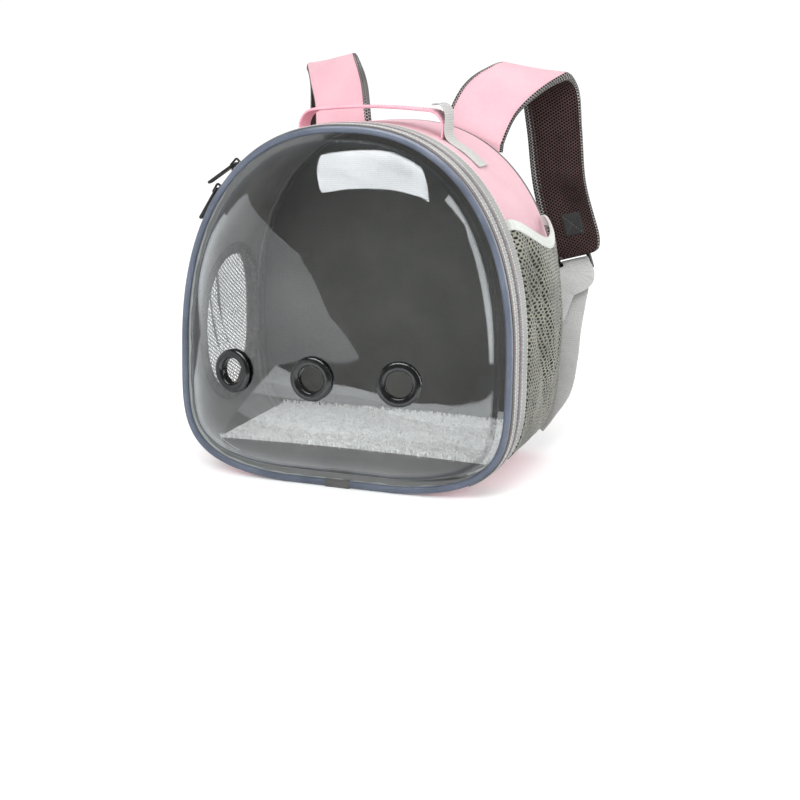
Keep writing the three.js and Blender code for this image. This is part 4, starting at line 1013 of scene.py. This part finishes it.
# Each row: x in half widths, y in strap reaches, z in strap crests, then yaw and roll in degrees
STRAP_ROWS = np.array([
    (0.427, 0, 0.786, 0, 21), (0.44, 0, 0.82, 0, 22), (0.5, 0.2, 0.90, 6, 20), (0.6, 0.47, 0.95, 12, 14),
    (0.71, 0.82, 0.974, 20, 9), (0.775, 1.02, 0.93, 32, 8), (0.815, 1.03, 0.83, 43, 6),
    (0.865, 0.97, 0.68, 48, 2), (0.96, 0.9, 0.55, 46, 0), (1.01, 0.86, 0.49, 40, 0)])
STRAP_LIFT = {"right": 0.0, "left": 9.0}  # the photograph shows the left crest higher
STRAP_BASE = BODY_DEPTH + 2 * GAP + STRAP_THICK / 2
SEAM_AT = 0.86  # where a seam lies, in halves of the width
WEB_WIDTH, WEB_THICK, EASE = 30.0, 1.6, 0.6
BUCKLE = dict(width=38.0, height=30.0, thick=4.0, bar=4.0, overlap=13.0)


def strap_places(rows):
    return np.stack([HALF_WIDTH * rows[:, 0], STRAP_BASE + STRAP_REACH * rows[:, 1],
                     STRAP_CREST * rows[:, 2]], -1)


def width_way(yaw, roll):
    a, b = np.radians(yaw), np.radians(roll)
    return np.stack([np.cos(a) * np.cos(b), np.sin(a) * np.cos(b), -np.sin(b) + 0 * a], -1)


def strap_frames(steps, lift=0.0):
    """The pad's middle line and its ways across, through and along, with the crest raised by lift."""
    ts = np.linspace(0, 1, steps + 1)
    centres = catmull(strap_places(STRAP_ROWS), ts)
    centres[:, 2] += lift * np.sin(np.pi * np.clip((ts - 0.05) / 0.75, 0, 1)) ** 2
    centres[:, 1] = np.maximum(centres[:, 1], STRAP_BASE)
    index = np.arange(len(STRAP_ROWS)) / (len(STRAP_ROWS) - 1)
    yaw, roll = (np.interp(ts, index, STRAP_ROWS[:, k]) for k in (3, 4))
    kernel = np.ones(9) / 9
    yaw, roll = (np.convolve(np.pad(v, 4, mode="edge"), kernel, "valid") for v in (yaw, roll))
    along = np.gradient(centres, axis=0)
    along[centres[:, 1] <= STRAP_BASE + 1e-6, 1] = 0
    along = unit(along)
    ways = width_way(yaw, roll)
    through = unit(np.cross(along, ways))
    slant = np.sin(np.pi * np.clip(ts / 0.85, 0, 1))[:, None] ** 0.5 * 0.75
    across = unit(unit(np.cross(through, along)) * (1 - slant) + ways * slant)
    run = lengths(centres)
    left = (run[-1] - run) / 24.0
    rounding = 0.62 + 0.38 * np.sqrt(np.clip(1 - (1 - left) ** 2, 0, 1))
    half = STRAP_WIDTH / 2 * np.where(left < 1, rounding, 1.0)
    return centres, across, through, along, half, run


FRAMES = strap_frames(22)
END = {k: FRAMES[i][-1] for i, k in enumerate(("centre", "across", "through", "along"))}


def buckle_axes():
    """The buckle's middle, its ways across and up, and the way out of its face, read off its CAD node."""
    up = -END["along"]
    out = np.cross(END["across"], up)
    middle = END["centre"] + up * (BUCKLE["overlap"] - BUCKLE["height"] / 2)
    away = STRAP_THICK / 2 + 2 * GAP + WEB_THICK + EASE + BUCKLE["thick"] / 2
    return middle - out * away, END["across"], up, out, away


B_MIDDLE, B_ACROSS, B_UP, B_OUT, B_AWAY = buckle_axes()


def buckle_bars():
    """Half the buckle's height, the height of a bar and that of a slot."""
    bar = BUCKLE["bar"]
    return BUCKLE["height"] / 2, bar, (BUCKLE["height"] - 4 * bar) / 3


def on_buckle(across, up, out):
    return B_MIDDLE + B_ACROSS * across + B_UP * up + B_OUT * out


def ribbon_piece(name, centres, widths, width, thickness, looks, slots=None, ripple=None, sign=1.0):
    """A strip of webbing with rounded edges. Its section runs round: outside first, then inside."""
    along = unit(np.gradient(centres, axis=0))
    through = unit(np.cross(along, widths))
    across = unit(np.cross(through, along))
    u = np.linspace(-1, 1, 17)
    rounded_edge = 1 - np.abs(u) ** 10 * 0.55
    top = np.stack([u, rounded_edge], -1)
    bottom = np.stack([u[::-1], -rounded_edge[::-1]], -1)
    section = np.concatenate([top, bottom])
    rows = []
    for k in range(len(centres)):
        lift = 0 if ripple is None else ripple[k]
        deep = section[:, 1:] * thickness / 2 + lift
        rows.append(centres[k] + across[k] * section[:, :1] * width / 2 + through[k] * deep)
    rows = np.array(rows)
    run = lengths(centres)
    outline = np.concatenate([section[:, 0] * 15, [-15]])
    uv = np.stack(np.meshgrid(run, outline, indexing="ij"), -1)
    return loft(name, mirrored(rows, sign), uv=uv, looks=looks, slots=slots, smooth=50), run


def make_patch(label, sign, frames):
    """The square of dark cloth sewn on the pad's underside over the loop's end. Returns its stitch runs."""
    centres, across, through, _, _, run = frames
    size = 22.0
    start = run[-1] - 20.0 - size

    def on_pad(u, v, rise):
        at = start + size * (v + 1) / 2
        spot, way, out = (np.stack([np.interp(at, run, g[:, k]) for k in range(3)], -1)
                          for g in (centres, across, through))
        return spot + way * (u * size / 2)[..., None] + out * (STRAP_THICK / 2 + rise)[..., None]

    u, v = np.meshgrid(np.linspace(-1, 1, 30), np.linspace(-1, 1, 30), indexing="ij")
    edge = np.minimum(1, np.minimum(1 - np.abs(u), 1 - np.abs(v)) * 8)
    sewn = np.minimum(np.abs(np.abs(u) - np.abs(v)), 0.16) / 0.16
    flat = np.zeros_like(u)
    piece = shell(f"strap_patch_{label}",
                  mirrored(on_pad(u, v, 0.25 + 0.35 * edge + 0.45 * sewn * edge), sign),
                  mirrored(on_pad(u, v, flat - 0.2), sign), np.stack([u, v], -1) * size / 2,
                  looks=[patch_look], smooth=50)
    fasten(piece)
    t = np.linspace(-SEAM_AT, SEAM_AT, 40)
    side = np.full_like(t, SEAM_AT)
    runs = []
    for a, b in ((t, t), (t, -t), (t, side), (t, -side), (side, t), (-side, t)):
        line = on_pad(a, b, np.full_like(t, 0.5))
        out = np.stack([np.interp(start + size * (b + 1) / 2, run, through[:, k]) for k in range(3)], -1)
        runs.append((mirrored(line, sign), mirrored(out, sign)))
    return runs


def make_strap(label, sign):
    """A padded strap: cloth outside, mesh inside, a bound edge, and the loop of webbing at its end."""
    frames = strap_frames(150, STRAP_LIFT[label])
    centres, across, through, _, half, run = frames
    edge = [(-1, -0.2), (-0.985, -0.62), (-0.93, -0.9)]
    face = [(u, -1.0) for u in np.linspace(-SEAM_AT, SEAM_AT, 17)]
    low = edge + face + [(-u, v) for u, v in edge[::-1]]
    section = np.array(low + [(-u, -v) for u, v in low])
    slots = np.array([1 if k < 3 or k > 19 else 0 for k in range(len(low))] * 2)
    bottom = len(low)
    slots = np.where(np.arange(2 * bottom) < bottom, np.where(slots == 1, 1, 2), np.where(slots == 1, 1, 0))
    rows = []
    for k in range(len(centres)):
        puff = np.where(np.abs(section[:, 1]) == 1, 1.0 - 0.12 * np.abs(section[:, 0]) ** 3, 1.0)
        wrinkle = 0.03 * math.sin(run[k] / 7.0) + 0.04 * math.sin(run[k] / 17.0 + 1)
        wrinkled = 1 + wrinkle * (np.abs(section[:, 1]) == 1)
        depth = section[:, 1] * puff * (STRAP_THICK / 2 - 0.25) * wrinkled
        rows.append(centres[k] + across[k] * section[:, :1] * half[k] + through[k] * depth[:, None])
    rows = np.array(rows)
    outline = np.concatenate([section, section[:1]]) * [STRAP_WIDTH / 2, STRAP_THICK / 2]
    girth = lengths(outline)
    uv = np.stack(np.meshgrid(run, girth, indexing="ij"), -1)
    looks = [strap_mesh, edge_mesh, strap_outer]
    pad = loft(f"strap_{label}", mirrored(rows, sign), uv=uv, looks=looks, slots=slots, smooth=45)
    finish_piece(pad, [f"strap_pad_{label}"])
    side = BUCKLE["thick"] / 2 + GAP + WEB_THICK / 2 + EASE
    sewn = B_AWAY - STRAP_THICK / 2 + WEB_THICK
    top, bar, slot_high = buckle_bars()
    slot_at = top - bar - slot_high / 2
    route = np.array([on_buckle(0, top + 4 * bar, sewn), on_buckle(0, top + 2 * bar, 0),
                      on_buckle(0, top, -side),
                      on_buckle(0, top - bar, -side), on_buckle(0, slot_at, -side * 0.7),
                      on_buckle(0, slot_at, side * 0.7),
                      on_buckle(0, top - bar, side), on_buckle(0, top + bar / 2, side),
                      on_buckle(0, top + 2 * bar, sewn)])
    bend = catmull(route, np.linspace(0, 1, 90))
    loop, _ = ribbon_piece(f"strap_loop_{label}", bend, np.repeat(B_ACROSS[None], 90, 0), WEB_WIDTH,
                           WEB_THICK,
                           [webbing_look], sign=sign)
    fasten(loop)
    outside, inside = [], make_patch(label, sign, frames)
    for runs, face in ((outside, -through), (inside, through)):
        for u in (-SEAM_AT, SEAM_AT):
            line = centres + across * (half * u)[:, None] + face * (STRAP_THICK / 2 - 0.35)
            runs.append((mirrored(line[4:-4], sign), mirrored(face[4:-4], sign)))
    return outside, inside


strap_outer = cloth_look("strap_cloth", (0.66, 0.40, 0.445), (0.53, 0.285, 0.33), pitch=(1.3, 1.3),
                         shade=0.35)
edge_cloth = cloth_look("strap_binding", (0.85, 0.47, 0.55), (0.62, 0.27, 0.34), pitch=(1.0, 1.0), shade=0.4)


def make_webbing(label, sign):
    web_rows = np.array([(0.84, -0.026, 0.075, 0), (0.905, 0.012, 0.112, 0), (0.972, 0.13, 0.158, 4),
                         (0.985, 0.35, 0.232, 10), (0.977, 0.555, 0.30, 16), (0.983, 0.757, 0.375, 24)])
    tail_rows = np.array([(0.94, 0.66, 0.415, 36), (0.893, 0.5, 0.355, 24), (0.85, 0.35, 0.304, 10),
                          (0.82, 0.24, 0.247, 6)])
    top, bar, slot_high = buckle_bars()
    turn = top - bar - slot_high / 2 - (slot_high + bar)
    shoulder = turn - slot_high / 4
    bearing = BUCKLE["thick"] / 2 + GAP + WEB_THICK / 2
    over = [(-top - GAP, -bearing - 4 * EASE), (shoulder - bar, -bearing - EASE), (shoulder, -bearing),
            (turn, 0),
            (shoulder, bearing), (shoulder - bar, bearing + EASE), (-top - GAP, bearing + 4 * EASE)]
    path = np.concatenate([strap_places(web_rows), [on_buckle(0, u, o) for u, o in over],
                           strap_places(tail_rows)])
    ways = np.concatenate([width_way(web_rows[:, 3], 0), [B_ACROSS] * len(over),
                           width_way(tail_rows[:, 3], 0)])
    ts = np.linspace(0, 1, 260)
    widths = unit(catmull(ways, ts))
    piece, run = ribbon_piece(f"webbing_{label}", catmull(path, ts), widths, WEB_WIDTH, WEB_THICK,
                              [webbing_look], ripple=0.12 * np.sin(ts * 420), sign=sign)
    finish_piece(piece, [f"strap_webbing_{label}"])


def top_at(x, offset):
    shares = np.linspace(0.25, 0.5, 1500)
    rim_x, _ = rim_spot(shares)
    share = shares[np.argmax(rim_x <= x)]
    rx, rz, _, _ = rim(share, offset)
    return float(rx), float(rz)


HANDLE_Y, HANDLE_SPAN, HANDLE_RISE, HANDLE_WIDTH, HANDLE_THICK = 88.0, 67.0, 22.0, 24.0, 2.6
HANDLE_FOOT = top_at(HANDLE_SPAN, SKIN)[1] + GAP + 1.0
HANDLE_TOP = float(rim(0.5, SKIN)[1]) + 14.0


def handle_route(count):
    side, crest, shoulder = HANDLE_SPAN, HANDLE_TOP, HANDLE_FOOT + HANDLE_RISE * 0.55
    half = np.array([(side, HANDLE_Y, HANDLE_FOOT), (side + 0.5, HANDLE_Y, shoulder),
                     (side * 0.9, HANDLE_Y, crest - HANDLE_RISE * 0.22),
                     (side * 0.6, HANDLE_Y, crest - HANDLE_RISE * 0.08)])
    route = np.concatenate([half * [-1, 1, 1], [(0, HANDLE_Y, crest)], half[::-1]])
    return catmull(route, np.linspace(0, 1, count))


def make_handle():
    count = 180
    centres = handle_route(count)
    ways = np.repeat([[0.0, 1.0, 0.0]], count, 0)
    piece, run = ribbon_piece("handle", centres, ways, HANDLE_WIDTH, HANDLE_THICK, [strap_outer, edge_cloth],
                              slots=np.array([1] * 3 + [0] * 10 + [1] * 4 + [1] * 17))
    finish_piece(piece, ["top_handle"])
    out = ways * 0 + unit(np.cross(np.gradient(centres, axis=0), ways))
    out *= np.where(out[:, 2:] + 0.3 * np.sign(centres[:, :1]) * out[:, :1] < 0, -1, 1)
    lines = []
    for edge in (-0.42, 0.42):
        line = centres + ways * HANDLE_WIDTH * edge + out * (HANDLE_THICK / 2 + 0.02)
        lines.append((line[6:-6], out[6:-6]))
    return lines


def make_ribbon():
    thick = 1.6
    outside = HANDLE_SPAN + 0.5 + HANDLE_THICK / 2 + GAP + thick / 2
    lift = SKIN + GAP + thick / 2 + 0.4
    crown = [top_at(outside + 36.0 * share, lift) for share in (0.8, 0.4, 0.055)]
    over = HANDLE_TOP + HANDLE_THICK / 2 + GAP + thick / 2 + 0.2
    route = [(x, HANDLE_Y, z) for x, z in crown]
    route += [(outside + 0.4, HANDLE_Y, crown[-1][1] + 6), (outside, HANDLE_Y, HANDLE_TOP - 6 * 0.67),
              (outside - 5, HANDLE_Y, over), (outside - 12, HANDLE_Y, over)]
    centres = catmull(np.array(route), np.linspace(0, 1, 110))
    ways = np.repeat([[0.0, 1.0, 0.0]], 110, 0)
    piece, run = ribbon_piece("ribbon", centres, ways, 25.0, thick, [ribbon_look],
                              ripple=0.1 * np.sin(np.linspace(0, 1, 110) * 190))
    finish_piece(piece, ["ribbon_tab"])


ribbon_look = cloth_look("ribbon", (0.56, 0.56, 0.54), (0.2, 0.2, 0.195), pitch=(2.2, 2.2), depth=0.3,
                         shade=0.6)


def bevelled(name, node, body=PACK, width=0.35, smooth=35):
    """A moulded piece: the CAD's own solid with its edges rounded."""
    piece = placed(name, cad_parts[node].data.copy())
    work = bmesh.new()
    work.from_mesh(piece.data)
    bmesh.ops.remove_doubles(work, verts=work.verts, dist=2e-6)
    bmesh.ops.dissolve_limit(work, angle_limit=math.radians(1.0), verts=work.verts, edges=work.edges)
    work.to_mesh(piece.data)
    work.free()
    bevel = piece.modifiers.new("edges", "BEVEL")
    bevel.width, bevel.segments = width * MM, 2
    bevel.limit_method, bevel.angle_limit = "ANGLE", math.radians(25)
    apply_modifiers(piece)
    piece.data.materials.clear()
    piece.data.materials.append(black.material)
    piece.data.shade_smooth()
    piece.data.set_sharp_from_angle(angle=math.radians(smooth))
    return finish_piece(piece, [node], body)


# Build
make_bubble()
for label, x in VENTS.items():
    make_grommet(label, x)
make_piping()
make_sleeve()
make_wall()
make_tapes()
make_zip()
make_back_panel()
make_fleece()
pale_runs, pink_runs, dark_runs = [], make_handle(), []
for label, sign in SIDES:
    make_net(label, sign)
    make_facing(label, sign)
    make_pocket(label, sign)
    pale_runs.append(make_binding(label, sign))
    outside_rows, inside_rows = make_strap(label, sign)
    pink_runs += outside_rows
    dark_runs += inside_rows
    make_webbing(label, sign)
    bevelled(f"buckle_{label}", f"strap_buckle_{label}", width=0.6)
make_ribbon()
make_seams()
for which, body in (("upper", "pull_upper"), ("lower", "pull_lower")):
    bevelled(f"slider_{which}", f"zip_slider_{which}")
    bevelled(f"pull_{which}", f"zip_pull_{which}", body=body, width=0.3)

for sign in (1.0, -1.0):
    for inset in (-1.2, -8.4):
        y, z = window_line(inset, 260, closed=True)
        line = np.stack([side_x(z, INNER - 1.5), y, z], -1)
        dark_runs.append((mirrored(line, sign), mirrored(np.repeat([[-1.0, 0, 0]], len(y), 0), sign)))
for offset_y in (FRONT_TAPE[0] + 1.4, FRONT_TAPE[1] - 1.4, REAR_TAPE[0] + 1.6, REAR_TAPE[1] - 1.6):
    shares = np.linspace(BAND_START + 0.002, 1 - BAND_START - 0.002, 900)
    x, z, nx, nz = rim(shares, BAND + 1.15)
    pale_runs.append((np.stack([x, RIM_LEAN * z + offset_y, z], -1), np.stack([nx, 0 * nx, nz], -1)))
stitches("pale_stitches", pale_runs, thread)
stitches("pink_stitches", pink_runs, pink_thread)
stitches("dark_stitches", dark_runs, dark_thread)

# Floor, light and camera. The cards are lit shapes that only the bubble and other glossy faces mirror
TURN, TILT, DISTANCE = math.radians(20.5), math.radians(9.2), 1150
AIM = np.array([43.1, 0, 175.8])
AIM_BACK = np.array([math.sin(TURN) * math.cos(TILT), -math.cos(TURN) * math.cos(TILT), math.sin(TILT)])
EYE = (AIM + AIM_BACK * DISTANCE - ORIGIN) * MM


def on_stage(name, verts, faces, look, hidden_from):
    mesh = bpy.data.meshes.new(name)
    mesh.from_pydata([tuple(v) for v in verts], [], [tuple(f) for f in faces])
    mesh.materials.append(look.material)
    piece = placed(name, mesh)
    for rays in hidden_from:
        setattr(piece, f"visible_{rays}", False)


def make_floor():
    size, half = 60, 14.0
    steps = np.linspace(-half, half, size)
    x, y = np.meshgrid(steps, steps + 8.0, indexing="ij")
    verts = np.stack([x, y, np.zeros_like(x)], -1).reshape(-1, 3)
    look = Look("floor", Specular_IOR_Level=0.0, Emission_Color=(1, 1, 1, 1), Emission_Strength=0.1)
    look.color(look.mix(look.noise(2.0), (0.965, 0.965, 0.965), (0.98, 0.98, 0.98)))
    look.roughness(look.noise(3.0), 0.8, 0.95)
    on_stage("floor", verts, grid_faces(size, size), look, ("glossy",))


def area_light(name, at, towards, size, power):
    light = bpy.data.lights.new(name, "AREA")
    light.shape, light.size, light.size_y, light.energy = "RECTANGLE", size[0], size[1], power
    lamp = placed(name, light)
    lamp.location = at
    lamp.rotation_euler = (Vector(towards) - Vector(at)).to_track_quat("-Z", "Y").to_euler()
    lamp.visible_camera = lamp.visible_glossy = False


def make_world():
    world = bpy.data.worlds.new("studio")
    bpy.context.scene.world = world
    world.use_nodes = True
    tree = world.node_tree
    tree.nodes.clear()
    out = tree.nodes.new("ShaderNodeOutputWorld")
    path = tree.nodes.new("ShaderNodeLightPath")
    blend = tree.nodes.new("ShaderNodeMixShader")
    tree.links.new(path.outputs["Is Glossy Ray"], blend.inputs[0])
    for at, strength in ((1, 1.04), (2, 0.10)):
        light = tree.nodes.new("ShaderNodeBackground")
        light.inputs["Color"].default_value = (1, 1, 1, 1)
        light.inputs["Strength"].default_value = strength
        tree.links.new(light.outputs[0], blend.inputs[at])
    tree.links.new(blend.outputs[0], out.inputs["Surface"])


def studio_card(name, left, right, strength):
    """A lit card that only mirroring surfaces see, between two rows of corners in millimetres."""
    verts = (np.array(left + right, float) - ORIGIN) * MM
    count = len(left)
    faces = [(k, k + 1, count + k + 1, count + k) for k in range(count - 1)]
    look = Look(name)
    glow = look.add("ShaderNodeEmission", Color=(0.95, 0.98, 1.0, 1))
    noise = look.add("ShaderNodeTexNoise", Scale=3.0)
    look.link(look.spread(noise.outputs[0], 0.3, 0.7, strength * 0.85, strength * 1.1),
              glow.inputs["Strength"])
    look.link(glow.outputs[0], look.out.inputs["Surface"])
    look.tree.nodes.remove(look.shader)
    on_stage(name, verts, faces, look, ("camera", "diffuse", "shadow", "transmission"))


make_floor()
make_world()
studio_card("card_top", [(-410, 76, 1091), (-303, 148, 1122), (-159, 213, 1147), (236, 424, 1064)],
            [(-356, -506, 935), (-226, -489, 995), (21, -459, 1050), (578, -210, 979)], 9.5)
studio_card("card_right",
            [(675, 70, 938), (769, 110, 840), (839, 190, 720), (905, 110, 634), (961, 105, 502),
             (996, 95, 379),
                           (1013, 100, 263), (1012, 120, 153), (1003, 140, 58), (975, 170, -24)],
            [(560, 900, 900), (500, 1200, 700), (480, 1450, 600), (650, 1500, 400), (650, 1500, 280),
             (640, 1500, 150),
             (600, 1500, 60), (560, 1500, 0), (560, 1500, -60), (600, 1500, -120)], 4.6)
studio_card("card_left",
            [(-867, 114, 664), (-723, -482, 633), (-538, -726, 514), (-423, -822, 416), (-362, -871, 283),
                          (-328, -887, 160), (-305, -892, 100), (-253, -905, 66), (-169, -922, 18)],
            [(-867, 114, 664), (-895, 190, 600), (-923, 269, 451), (-900, 400, 416), (-850, 500, 283),
             (-755, 636, 184), (-850, 500, 100), (-900, 300, 50), (-964, 228, 2)], 1.25)
TABLE_ROWS = [
    [(-420, -749, 1), (-143, -441, 1), (24, -465, 1), (364, -372, 1), (523, -129, 1), (546, 13, 1),
     (580, 209, 1)],
    [(-300, -420, 1), (-90, -330, 1), (30, -330, 1), (250, -270, 1), (380, -100, 1), (400, 20, 1),
     (420, 200, 1)],
    [(-230, -260, 1), (-80, -240, 1), (30, -240, 1), (180, -190, 1), (280, -80, 1), (300, 25, 1),
     (320, 200, 1)],
    [(-170, -120, 1), (-60, -90, 1), (30, -90, 1), (150, -80, 1), (170, -50, 1), (180, 30, 1), (190, 200, 1)],
    [(-110, 60, 1), (-60, 60, 1), (30, 60, 1), (120, 60, 1), (130, 70, 1), (140, 80, 1), (150, 200, 1)]]
for n, strength in enumerate((3.2, 2.9, 1.8, 0.7)):
    studio_card(f"card_table_{n}", TABLE_ROWS[n], TABLE_ROWS[n + 1], strength)
studio_card("card_table_left", [(-964, 228, 1), (-717, -438, 1), (-420, -749, 1)],
            [(-120, 250, 1), (-110, 60, 1), (-170, -120, 1)], 1.0)
area_light("top_soft", (0.25, -0.45, 1.15), (0.0, 0.0, 0.2), (0.9, 0.6), 3.5)
area_light("front_soft", (0.05, -1.0, 0.85), (0.0, 0.0, 0.1), (0.8, 0.5), 7.8)
area_light("right_soft", (1.2, -0.5, 0.55), (0.1, 0.0, 0.18), (0.4, 0.9), 3.0)

camera_data = bpy.data.cameras.new("camera")
camera = placed("camera", camera_data)
camera.location = EYE
camera.rotation_euler = Vector(-AIM_BACK).to_track_quat("-Z", "Y").to_euler()
camera_data.sensor_width, camera_data.lens = 36.0, 61.785
camera_data.shift_x, camera_data.shift_y = 0.01875, -0.1375
bpy.context.scene.camera = camera
bpy.context.scene.view_settings.view_transform = "Standard"
